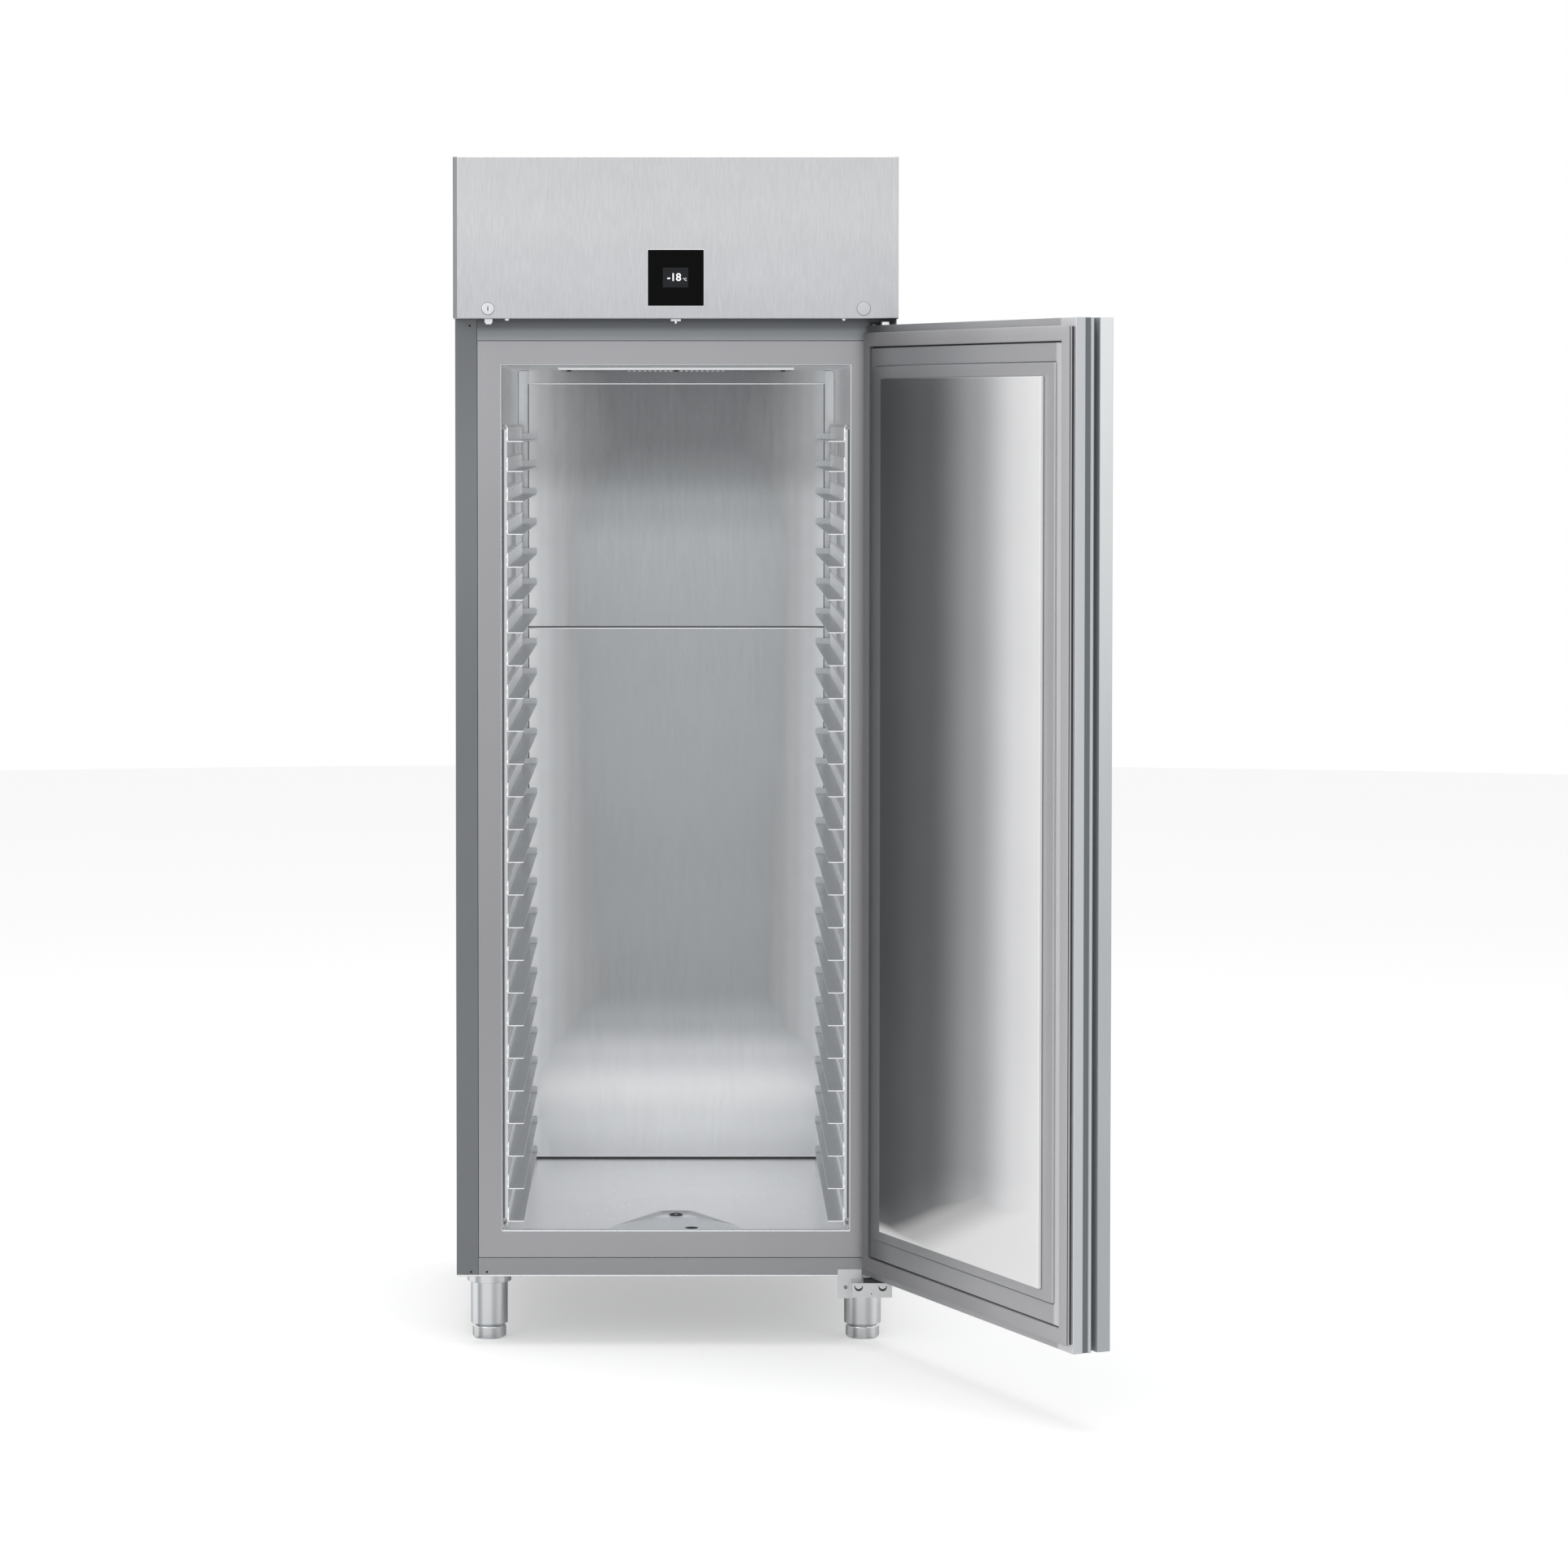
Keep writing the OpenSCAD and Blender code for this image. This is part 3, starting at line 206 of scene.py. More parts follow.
# %% Colour and node helpers
def linear(code):
    """sRGB hex to linear RGBA: c/12.92 below 0.04045, else ((c + 0.055)/1.055)^2.4."""
    c = np.array([int(code[i:i + 2], 16) for i in (1, 3, 5)]) / 255
    return (*np.where(c <= 0.04045, c / 12.92, ((c + 0.055) / 1.055) ** 2.4).tolist(), 1.0)

def add(tree, kind, inputs=None, stops=None, **settings):
    """One node: settings are its own choices, inputs are values or other nodes' outputs,
    and stops are a colour ramp's {place: colour}. Inputs go by name or by number: a map
    range has its value, from lowest, from highest, to lowest and to highest at 0 to 4,
    and a mix of colours has its share at 0 and its two colours at 6 and 7."""
    node = tree.nodes.new(kind)
    for key, value in settings.items():
        setattr(node, key, value)
    for key, value in (inputs or {}).items():
        if isinstance(value, bpy.types.NodeSocket):
            tree.links.new(value, node.inputs[key])
        else:
            node.inputs[key].default_value = value
    for k, (place, code) in enumerate((stops or {}).items()):
        ramp = node.color_ramp.elements
        knot = ramp[k] if k < 2 else ramp.new(place)
        knot.position, knot.color = place, linear(code)
    return node

def blended(tree, colour, other, blend="MULTIPLY"):
    """A colour blended in full with another colour or a grey value."""
    pair = {0: 1.0, 6: colour, 7: other}
    return add(tree, "ShaderNodeMix", pair, data_type="RGBA", blend_type=blend).outputs[2]

def bare(name):
    """A new material and its emptied node tree."""
    made = bpy.data.materials.new(name)
    made.use_nodes = True
    made.node_tree.nodes.clear()
    return made, made.node_tree

print("mid grey", [round(v, 3) for v in linear("#808080")[:3]])

# %% [markdown]
# ## Stainless steel
# Nearly everything is chromium-nickel steel sheet. What tells its parts apart is how
# the surface was made: belt-brushed sheet has fine lines along the belt, mill finish is
# cloudy and smooth, a turned tube is polished. All are metals with a stretched noise
# that drives tone, roughness and a very shallow relief. Real brush lines are about
# 0.1 mm apart; they are drawn near 1.5 mm wide so that they show at this distance. Slow
# ramps along an axis are painted reflection and painted shade: they stand for what the
# real sheets mirror in their studio.

# %% Coordinates
X, Y, Z, NORMAL_X, NORMAL_Y, NORMAL_Z, SLANT = range(7)
slant = 0.38

def about(tree, turn):
    """Object coordinates; turn = (degrees, x, y) turns them about an upright line, so
    that pieces of the open door are measured along the door."""
    place = add(tree, "ShaderNodeTexCoord").outputs["Object"]
    if turn:
        angle, x, y = turn
        away = {"Vector": place, "Location": (-x / 1000, -y / 1000, 0)}
        moved = add(tree, "ShaderNodeMapping", away).outputs[0]
        spun = {"Vector": moved, "Rotation": (0, 0, -math.radians(angle))}
        place = add(tree, "ShaderNodeMapping", spun).outputs[0]
    return place

# %% Slow changes of tone: painted shade and painted light
def darker(axis, start, end, stops):
    """A field of painted shade: it multiplies the colour by a ramp from start to end along an axis."""
    return axis, start, end, "MULTIPLY", stops

def lighter(axis, start, end, stops):
    """A field of painted light: it keeps the lighter of the colour and the ramp."""
    return axis, start, end, "LIGHTEN", stops

def graded(tree, place, tone, fields):
    """A tone with its fields blended over it, and the value along every axis. X, Y and
    Z are places in mm, the NORMAL axes are the parts of the surface's normal from -1 to
    1, and SLANT is a slanted height in mm, Z + slant X."""
    colour = add(tree, "ShaderNodeRGB").outputs[0]
    colour.default_value = linear(tone)
    normal = add(tree, "ShaderNodeNewGeometry").outputs["Normal"]
    apart = [*add(tree, "ShaderNodeSeparateXYZ", {0: place}).outputs,
             *add(tree, "ShaderNodeSeparateXYZ", {0: normal}).outputs]
    leaning = {0: apart[X], 1: slant, 2: apart[Z]}
    apart.append(add(tree, "ShaderNodeMath", leaning, operation="MULTIPLY_ADD").outputs[0])
    for axis, start, end, blend, stops in fields:
        unit = 1 if axis in (NORMAL_X, NORMAL_Y, NORMAL_Z) else 1000
        along = add(tree, "ShaderNodeMapRange", {0: apart[axis], 1: start / unit, 2: end / unit})
        shade = add(tree, "ShaderNodeValToRGB", {0: along.outputs[0]}, stops=stops)
        shade.color_ramp.interpolation = "EASE"
        colour = blended(tree, colour, shade.outputs[0], blend)
    return colour, apart

# %% One recipe for all steel finishes
def steel(name, tone, grain, rough, streak=0.05, relief=0.02, fields=(), turn=None, hazes=(), lift=0.0):
    """tone: base colour; grain: size of a streak in mm along X, Y and Z; rough: lowest
    and highest roughness; streak: how much darker a line gets; relief in mm; fields and
    turn as above. Each haze (axis, from mm, to mm, metallic there) lets a sheet scatter
    light towards one side. lift is a weak glow in the sheet's own tone, painted light: it
    stands for the many mirror bounces between close sheets, of which a renderer follows
    only the first few."""
    made, tree = bare(name)
    place = about(tree, turn)
    stretched = {"Vector": place, "Scale": [1000 / size for size in grain]}
    finer = add(tree, "ShaderNodeMapping", stretched).outputs[0]
    brushed = {"Vector": finer, "Scale": 1.0, "Detail": 4.0, "Roughness": 0.65}
    lines = add(tree, "ShaderNodeTexNoise", brushed).outputs["Fac"]
    clouded = {"Vector": place, "Scale": 6.0, "Detail": 2.0}
    cloud = add(tree, "ShaderNodeTexNoise", clouded).outputs["Fac"]
    colour, apart = graded(tree, place, tone, fields)
    grey = add(tree, "ShaderNodeMapRange", {0: lines, 1: 0.25, 2: 0.75, 3: 1 - streak, 4: 1 + streak * 0.4})
    soft = add(tree, "ShaderNodeMapRange", {0: cloud, 1: 0.3, 2: 0.7, 3: 0.98, 4: 1.01})
    both = add(tree, "ShaderNodeMath", {0: grey.outputs[0], 1: soft.outputs[0]}, operation="MULTIPLY")
    tinted = blended(tree, colour, both.outputs[0])
    dull = add(tree, "ShaderNodeMapRange", {0: lines, 1: 0.25, 2: 0.75, 3: rough[0], 4: rough[1]})
    metal = 1.0
    for axis, start, end, least in hazes:
        span = {0: apart[axis], 1: start / 1000, 2: end / 1000, 3: 1.0, 4: least}
        share = add(tree, "ShaderNodeMapRange", span, interpolation_type="SMOOTHSTEP").outputs[0]
        metal = add(tree, "ShaderNodeMath", {0: metal, 1: share}, operation="MINIMUM").outputs[0]
    values = {"Base Color": tinted, "Roughness": dull.outputs[0], "Metallic": metal}
    if relief:
        dents = {"Height": lines, "Distance": relief / 1000, "Strength": 0.5}
        values["Normal"] = add(tree, "ShaderNodeBump", dents).outputs[0]
    # A sheet that glows through lift carries painted light; it is no lamp.
    if lift:
        values["Emission Color"], values["Emission Strength"] = tinted, lift
    shader = add(tree, "ShaderNodeBsdfPrincipled", values)
    add(tree, "ShaderNodeOutputMaterial", {0: shader.outputs[0]})
    return made

# %% Finishes of the head, casing and frame
swing, axis_x, axis_y = 113.5, 372.5, -446.0
along_door = (swing, axis_x, axis_y)
belt = (0.34, 0.46)
# Painted shade: the front panel is a little darker low down, and its bevel that faces left is painted
# darker.
front_steel = steel(
    "brushed stainless front", "#CECFD1", (1.5, 40, 30), belt, 0.13, 0.03,
    [darker(Z, deck, roof, {0.0: "#F4F5F7", 0.35: "#FBFBFC", 0.6: "#FFFFFF", 1.0: "#FCFCFC"}),
     darker(NORMAL_X, -1, 1, {0.2: "#A6AAAC", 0.3: "#FFFFFF"})])
# Painted shade: the casing's front face beside the door is much darker than its sides, and the casing is a
# little darker low down and at the top.
casing_steel = steel(
    "brushed stainless casing", "#CFD1D3", (1.6, 1.6, 120), belt, 0.04, 0.03,
    [darker(Y, cab_front - 1, cab_front + 3, {0.4: "#A0A2A3", 1.0: "#FFFFFF"}),
     darker(Z, 128, deck, {0.6: "#F4F4F4", 0.8: "#FFFFFF", 1.0: "#EEEEEE"})])
# Painted shade under the head: the strip is painted darker towards the head's deck above it.
shaded_strip_steel = steel(
    "brushed stainless strip under the head", "#CFD1D3", (120, 1.6, 1.6), belt, 0.04, 0.03,
    [darker(Z, strip_hi, deck, {0.0: "#BEC0C2", 0.35: "#B0B2B4", 0.7: "#8E9092", 1.0: "#808284"})])
# Painted shade: the sill is a darker copy of the casing steel.
shaded_sill_steel = steel("brushed stainless sill", "#9A9C9E", (120, 1.6, 1.6), belt, 0.04, 0.03)
# Painted reflection: the frame's tone changes gently from bottom to top.
frame_steel = steel(
    "satin stainless frame", "#C2C2C4", (3, 3, 3), (0.38, 0.46), 0.02, 0.008,
    [darker(Z, strip_lo, strip_hi, {0.0: "#DCDCDE", 0.3: "#D0D0D2", 0.75: "#D8D8DA", 1.0: "#E2E2E4"})])
roll_steel = steel("polished stainless roll", "#CED0D2", (3, 3, 3), (0.25, 0.33), 0.02, 0.008)
print("swing", swing, "degrees about", (axis_x, axis_y))

# %% Finishes of the cavity
# Painted shade: liner faces that look towards the front are darker, and so are floor faces tilted slightly
# towards the back, as in the drain's V; the lift is painted light for the bounces.
liner_steel = steel(
    "mill finish stainless liner", "#F2F3F4", (9, 9, 9), (0.26, 0.36), 0.02, 0.008,
    [darker(NORMAL_Y, -0.9, -0.4, {0.0: "#DCDEE0", 1.0: "#FFFFFF"}),
     darker(NORMAL_Y, 0.01, 0.035, {0.0: "#FFFFFF", 1.0: "#DCE0E3"})], lift=0.085)
# Painted reflection and painted shade: the duct's tone rises and falls with height, is lighter towards both
# sides, and darker near the top.
duct_steel = steel(
    "mill finish stainless duct", "#FAFBFC", (6, 6, 60), (0.30, 0.40), 0.02, 0.008,
    [darker(Z, cav_lo, cav_hi, {
        0.0: "#D4D5D7", 0.05: "#E4E5E6", 0.092: "#F2F2F3", 0.133: "#D9DADC", 0.174: "#B8BABC",
        0.215: "#A8AAAC", 0.34: "#ADAFB1", 0.6: "#B5B7B9", 0.78: "#BEC0C2", 0.83: "#B2B4B6",
        0.872: "#A8AAAC", 0.913: "#9C9EA0", 1.0: "#A2A4A6"}),
     lighter(X, -290, 290, {
        0.0: "#FAFBFC", 0.05: "#DEE0E2", 0.1: "#C8CACC", 0.15: "#B8BABC", 0.2: "#ACAEB0",
        0.3: "#9C9EA0", 0.42: "#8A8C8E", 0.58: "#8A8C8E", 0.7: "#989A9C", 0.8: "#A4A6A8",
        0.85: "#B0B2B4", 0.9: "#C0C2C4", 0.95: "#D2D4D6", 1.0: "#EAECEE"}),
     darker(Z, 1500, 1590, {0.0: "#FFFFFF", 1.0: "#E0E0E0"})])
# Painted shade: faces of the cover that look down are darker.
cover_steel = steel("bright stainless cover", "#ECEEF0", (6, 40, 6), (0.22, 0.30), 0.03, 0.01,
                    [darker(NORMAL_Z, -1, -0.5, {0.0: "#CCCED0", 1.0: "#FFFFFF"})])
# Painted shade: the rails' upward faces and their rear ends are darker; the lift is painted light for the
# bounces.
rail_steel = steel(
    "folded stainless rail", "#F2F3F4", (4, 60, 4), (0.28, 0.38), 0.03, 0.008,
    [darker(NORMAL_Z, 0.3, 0.9, {0.0: "#FFFFFF", 1.0: "#B6B8BA"}),
     darker(Y, 395, 410, {0.0: "#FFFFFF", 1.0: "#C6C8CA"})], lift=0.13)
# The outer part of the rack's front fold lies in shade against the wall; this shade is painted as a dark
# band, faces that look forward get painted shade as well, and the lift is painted light for the bounces.
rack_steel = steel(
    "punched stainless rack", "#F2F3F4", (4, 4, 60), (0.28, 0.38), 0.03, 0.008,
    [darker(X, -312, 312, {0.005: "#707274", 0.0075: "#FFFFFF", 0.9925: "#FFFFFF", 0.995: "#707274"}),
     darker(NORMAL_Y, -1, -0.5, {0.0: "#DCDEE0", 1.0: "#FFFFFF"})], lift=0.06)

# %% Finishes of the door
# Painted reflection: the panel darkens from its free side towards the hinge, and is painted lighter along
# its lower edge, higher up towards the free side; the lift is painted light for the bounces.
panel_steel = steel(
    "bright annealed stainless panel", "#FCFCFC", (60, 60, 300), (0.36, 0.37), 0.004, 0.0,
    [darker(X, -680, -74, {0.0: "#FFFFFF", 0.14: "#F6F6F7", 0.4: "#C2C3C4", 0.7: "#868889", 1.0: "#6C6E70"}),
     lighter(SLANT, 275, 105, {0.0: "#000000", 0.34: "#585858", 0.62: "#CCCCCC", 1.0: "#FAFAFA"}),
     lighter(Z, 270, 229, {0.0: "#000000", 0.4: "#606060", 1.0: "#F0F0F0"})],
    along_door, [(X, -290, -660, 0.2), (SLANT, 275, 130, 0.1), (Z, 290, 235, 0.12)], 0.04)
# Painted shade: the door liner darkens towards the hinge side.
door_steel = steel(
    "satin stainless door liner", "#F4F4F5", (3, 3, 3), (0.36, 0.46), 0.02, 0.008,
    [darker(X, -760, 0, {0.0: "#EEEEF0", 0.058: "#EAEAEC", 0.066: "#C6C6C8",
                         0.35: "#CACACC", 0.85: "#BCBDBE", 1.0: "#8A8B8C"})],
    along_door, [(X, -100, -700, 0.55)])
# Painted shade: the outer skin is a little darker towards the bottom.
skin_steel = steel("brushed stainless door skin", "#D0D2D3", (1.1, 1.1, 90), belt, 0.06, 0.03,
                   [darker(Z, 134, 1838, {0.0: "#D4D6D8", 0.3: "#DEE0E2", 1.0: "#FFFFFF"})])

# %% Finishes of legs, fittings and machine
# A polished tube mirrors the room as upright bands; here they are painted reflection, a tone that depends on
# the normal's X only.
polished_steel = steel(
    "polished stainless tube", "#ECEDEE", (60, 60, 2), (0.12, 0.20), 0.02, 0.004,
    [darker(NORMAL_X, -1, 1, {
        0.0: "#A8AAAC", 0.08: "#FFFFFF", 0.16: "#FFFFFF", 0.24: "#B8BABC", 0.38: "#F0F1F2",
        0.52: "#F2F3F4", 0.66: "#D0D2D4", 0.82: "#FFFFFF", 0.94: "#DCDEE0", 1.0: "#B8BABC"})])
bright_steel = steel("bright plated steel", "#E6E8EA", (2, 2, 2), (0.16, 0.24), 0.03, 0.005)
hinge_steel = steel("blasted stainless casting", "#D6D7D8", (1.2, 1.2, 1.2), (0.36, 0.5), 0.06, 0.04)
shroud_steel = steel("galvanised sheet", "#8E9294", (25, 25, 25), (0.4, 0.5), 0.12, 0.01)
aluminium = steel("bare aluminium", "#C6C8CA", (3, 3, 30), (0.34, 0.44), 0.05, 0.01)
copper = steel("drawn copper", "#B8754A", (30, 30, 8), (0.3, 0.42), 0.12, 0.01)
print("the tube's finish has", len(polished_steel.node_tree.nodes), "nodes")

# %% [markdown]
# ## Plastics, rubber and foam
# These are not metals: light goes in, is scattered and comes out coloured, with a weak
# clear reflection on top (IOR about 1.5). Moulded parts carry a fine pebble of one or
# two millimetres, foam has cells of about three.

# %% One recipe for moulded and foamed materials
def moulded(name, tone, grit, rough, relief=0.03, ior=1.5, fleck=0.06, shine=0.5, fields=(), turn=None):
    """A solid colour with a noise of the given grit size in mm for tone, gloss and relief;
    shine below 0.5 stands for an anti-glare coat."""
    made, tree = bare(name)
    place = about(tree, turn)
    grains = {"Vector": place, "Scale": 1000 / grit, "Detail": 3.0}
    specks = add(tree, "ShaderNodeTexNoise", grains).outputs["Fac"]
    colour = graded(tree, place, tone, fields)[0]
    grey = add(tree, "ShaderNodeMapRange", {0: specks, 1: 0.3, 2: 0.7, 3: 1 - fleck, 4: 1.0})
    tinted = blended(tree, colour, grey.outputs[0])
    dull = add(tree, "ShaderNodeMapRange", {0: specks, 1: 0.3, 2: 0.7, 3: rough - 0.05, 4: rough + 0.05})
    bump = add(tree, "ShaderNodeBump", {"Height": specks, "Distance": relief / 1000, "Strength": 0.6})
    shader = add(tree, "ShaderNodeBsdfPrincipled", {
        "Base Color": tinted, "Roughness": dull.outputs[0], "Normal": bump.outputs[0],
        "IOR": ior, "Specular IOR Level": shine})
    add(tree, "ShaderNodeOutputMaterial", {0: shader.outputs[0]})
    return made

# %% Finishes that are not steel
black_plastic = moulded("dark grey moulded polyamide", "#2A2B2D", 1.5, 0.5)
grip_plastic = moulded("grey extruded profile", "#CDD1D4", 2.0, 0.42, 0.01, fleck=0.03)
# Painted shade: the gasket darkens towards the hinge side.
gasket_vinyl = moulded("soft grey gasket vinyl", "#BEBEC0", 2.5, 0.55, 0.02, fleck=0.04,
                       fields=[darker(X, -760, 0, {0.0: "#FFFFFF", 0.25: "#F4F4F4",
                                                   0.55: "#D6D6D8", 1.0: "#A0A0A2"})],
                       turn=along_door)
rubber = moulded("black rubber", "#1E1F20", 2.0, 0.7)
foam = moulded("closed-cell foam", "#E6DEC0", 3.0, 0.9, 0.3, fleck=0.15)
cap_plastic = moulded("light grey moulded cap", "#D2D5D7", 2.0, 0.4, 0.01, fleck=0.02)
spout_plastic = moulded("grey moulded spout", "#7A7D80", 1.5, 0.5)
powder_coat = moulded("dark powder coat", "#46484A", 0.8, 0.55, 0.04)
black_paint = moulded("black compressor paint", "#161617", 1.5, 0.35)
screw_black = moulded("blackened screw", "#1C1D1E", 1.0, 0.4)
screen_black = moulded("black touch glass", "#060607", 20.0, 0.1, 0.0, 1.52, 0.1, 0.06)
screen_grey = moulded("lit screen behind glass", "#2C2D30", 1.2, 0.2, 0.0, 1.52, 0.2, 0.06)
inlay_grey = moulded("grey grip inlay", "#6A6E72", 2.0, 0.5, 0.01, fleck=0.03)
# Painted shade: a darker grey for the lining of the grip's groove, where it lies in shade.
groove_shade_grey = moulded("grey groove lining", "#9A9EA2", 2.0, 0.5, 0.01, fleck=0.03)
print("the gasket's finish has", len(gasket_vinyl.node_tree.nodes), "nodes")

# %% [markdown]
# ## Dressing the CAD parts that stay
# Parts with flat faces and straight folds are already right. They only get a finish,
# by putting it in their material slots.

# %% Give each remaining part its finish
wears = {
    casing_steel: ["casing_left", "casing_right", "casing_back", "head_cover", "head_back", "machine_base"],
    shaded_strip_steel: ["casing_top"],
    shaded_sill_steel: ["casing_bottom"],
    duct_steel: ["duct_panel_upper", "duct_panel_lower"],
    cover_steel: ["ceiling_cover"],
    rack_steel: ["rack_left", "rack_right"],
    hinge_steel: ["hinge_bracket_low", "hinge_screws"],
    powder_coat: ["hinge_bracket_top"],
    bright_steel: ["hinge_pins", "lock_cylinder", "lock_bolt", "door_contact"],
    black_plastic: ["hinge_cam", "door_caps", "display_housing", "control_box", "condenser_fan",
                    "evaporator_fan", "mains_inlet"],
    spout_plastic: ["drain_spout"],
    rubber: ["compressor_mounts"],
    foam: ["cabinet_foam", "door_foam", "cold_box"],
    black_paint: ["compressor"],
    aluminium: ["evaporator", "fan_motors"],
    shroud_steel: ["condenser_shroud"],
    copper: ["condenser", "refrigerant_pipes", "filter_dryer"],
}
for finish, names in wears.items():
    for name in names:
        for slot in nodes[name].material_slots:
            slot.material = finish
print(sum(len(names) for names in wears.values()), "CAD parts keep their shape")

# %% [markdown]
# ## The head's front panel
# A tray folded from brushed sheet: a wide face, a narrow bevel down each side and
# returns at the top and bottom. Its outline from above is carried up the panel and
# pulled in at both ends, which gives the small fold radii that catch the light.

# %% Front panel
bevel_wide, bevel_deep, flange = 8, 5, 18.0

def tray_outline(e):
    """Outline from above, pulled in by e: the side walls move to half - e, the face to
    front + e, and the bevel line keeps its slope and moves in by e as well."""
    slope = math.hypot(bevel_deep, bevel_wide)
    nx, ny = -bevel_deep / slope, -bevel_wide / slope
    c = nx * -half + ny * (front + bevel_deep) - e
    side_y = (c - nx * (-half + e)) / ny
    face_x = (c - ny * (front + e)) / nx
    right = [(-face_x, front + e), (half - e, side_y), (half - e, fascia_back)]
    left = [(-half + e, fascia_back), (-half + e, side_y), (face_x, front + e)]
    return rounded(left + right, [0.01, 1.5, 1.5, 1.5, 1.5, 0.01], 3)

fold = [(1.6, 0), (0.8, 0.2), (0.2, 0.8), (0.0, 1.6)]
levels = [(flange, deck)] + [(e, deck + h) for e, h in fold]
levels += [(e, roof - h) for e, h in fold[::-1]] + [(flange, roof)]
outlines = [tray_outline(e) for e, _ in levels]
skin = [np.column_stack([o, np.full(len(o), z)]) for o, (_, z) in zip(outlines, levels)]
piece("head_front", [stack(skin)], front_steel, "cabinet", ["fascia"])

# %% [markdown]
# ## Display, lock and cap
# A square of black touch glass sits in a thin bright frame; the lit field behind it is
# a little greyer. The temperature is built-in type turned into a mesh. The places for a
# name stay bare.

# %% Display
disp_z = deck + 72

def square_plate(reach, y0, y1, corner):
    """A square plate about the display's middle."""
    return plate((-reach, front + y0, disp_z - reach), (reach, front + y1, disp_z + reach), corner, 0.4)

piece("display_frame", [square_plate(50.6, -0.9, 0.2, 2.0)], bright_steel, "cabinet")
piece("display_face", [square_plate(49.6, -1.5, -0.2, 1.4)],
      screen_black, "cabinet", ["display_glass"])
piece("display_screen", [plate((-23, front - 1.6, disp_z - 17), (22, front - 1.2, disp_z + 18), 0.6, 0.05)],
      screen_grey, "cabinet")

# %% Lit type
type_white = linear("#F4F6F8")
glow, tree = bare("lit white type")
place = add(tree, "ShaderNodeTexCoord").outputs["Object"]
dots = add(tree, "ShaderNodeTexNoise", {"Vector": place, "Scale": 3000.0})
level = add(tree, "ShaderNodeMapRange", {0: dots.outputs["Fac"], 3: 0.9, 4: 1.0})
tint = blended(tree, type_white, level.outputs[0])
face = add(tree, "ShaderNodeBsdfPrincipled", {
    "Base Color": tint, "Roughness": 0.4,
    "Emission Color": type_white, "Emission Strength": 0.35})
add(tree, "ShaderNodeOutputMaterial", {0: face.outputs[0]})
type_y = front - 1.66

def type_on_glass(name, words, height, x, z, weight):
    """Built-in type made a mesh, then moved: its X and Y become X and Z on the glass."""
    curve = bpy.data.curves.new(name, "FONT")
    curve.body, curve.size = words, height / 1000
    curve.extrude, curve.offset = 0.00005, weight / 1000
    curve.align_x, curve.align_y = "CENTER", "CENTER"
    draft = show(name + "_draft", curve)
    solved = draft.evaluated_get(bpy.context.evaluated_depsgraph_get())
    mesh = bpy.data.meshes.new_from_object(solved)
    bpy.data.objects.remove(draft)
    flat = np.empty(len(mesh.vertices) * 3)
    mesh.vertices.foreach_get("co", flat)
    u, v, w = flat.reshape(-1, 3).T * 1000
    faces = [list(f.vertices) for f in mesh.polygons]
    placed = np.column_stack([x + u, type_y - w, z + v])
    piece(name, [(placed, faces)], glow, "cabinet")

type_on_glass("display_number", "-18", 19, -3.0, disp_z + 0.5, 0.3)
type_on_glass("display_unit", "°C", 6, 16.0, disp_z - 3, 0.12)

# %% Lock collar and blanking cap
lock_x, lock_z = 333.0, deck + 17.5
collar = [(6.1, 20), (6.1, -1.5), (7.4, -1.5), (7.6, -1.2), (8.2, -1.2), (8.4, -1.5), (9.9, -1.5),
          (10.5, -1.25), (10.8, -0.6), (10.8, 0.2), (9.4, 0.2), (9.4, 20)]
piece("lock_collar", [turned(collar, (-lock_x, front, lock_z), 1, wrap=True)],
      bright_steel, "cabinet", ["lock_housing"])
cap_r, cap_edge = 10.2, 1.5
a = np.radians(np.linspace(0, 90, 7))
dome = [(0, -1.5)] + [(cap_r * s, -1.5 + 0.25 * s * s) for s in (0.3, 0.6, 0.85, 1.0)]
dome += [(cap_r + cap_edge * math.sin(t), -0.2 - 1.05 * math.cos(t)) for t in a[1:]]
dome += [(11.7, 0.2), (9.4, 0.2), (9.4, 12), (0, 12)]
piece("blanking_cap", [turned(dome, (lock_x, front, lock_z), 1)],
      cap_plastic, "cabinet", ["lock_cap"])

# %% Keyhole, and dark rings of painted shadow round the lock and cap
face_y = planes("lock_cylinder")[0][1]
keyhole = plate((-lock_x - 0.9, face_y - 0.12, lock_z - 3.4),
                (-lock_x + 0.9, face_y + 0.3, lock_z + 3.4), 0.5, 0.05)
piece("keyhole_shutter", [keyhole], black_plastic, "lock_plug")
# Thin dark rings at the edges of the lock collar and the cap: painted shadow.
shadow_rings = []
for x, r in ((-lock_x, 10.7), (lock_x, 11.6)):
    lips = [(r, 0.3), (r, -0.35), (r + 0.3, -0.45), (r + 0.9, -0.2), (r + 0.9, 0.3)]
    shadow_rings.append(turned(lips, (x, front, lock_z), 1, wrap=True))
piece("front_shadow_rings", shadow_rings, spout_plastic, "cabinet")

# %% Screw heads
def screw_head(x, y, z, radius, deep):
    """A low dome that hangs down, with a socket sunk into it."""
    profile = [(0, 0.45), (0.42, 0.45), (0.46, 1), (0.7, 1), (0.93, 0.6), (1, 0.15), (1, 0), (0, 0)]
    return turned([(radius * r, -deep * h) for r, h in profile], (x, y, z), steps=24)

cover_z = cav_hi - 4
piece("cover_screws", [screw_head(x, -32, cover_z, 4.5, 3.0) for x in (-200, 0, 200)],
      screw_black, "cabinet", ["panel_screws"])
piece("head_screws", [screw_head(x, -477.5, deck, 4.8, 3.6) for x in (-299, 299)],
      bright_steel, "cabinet")

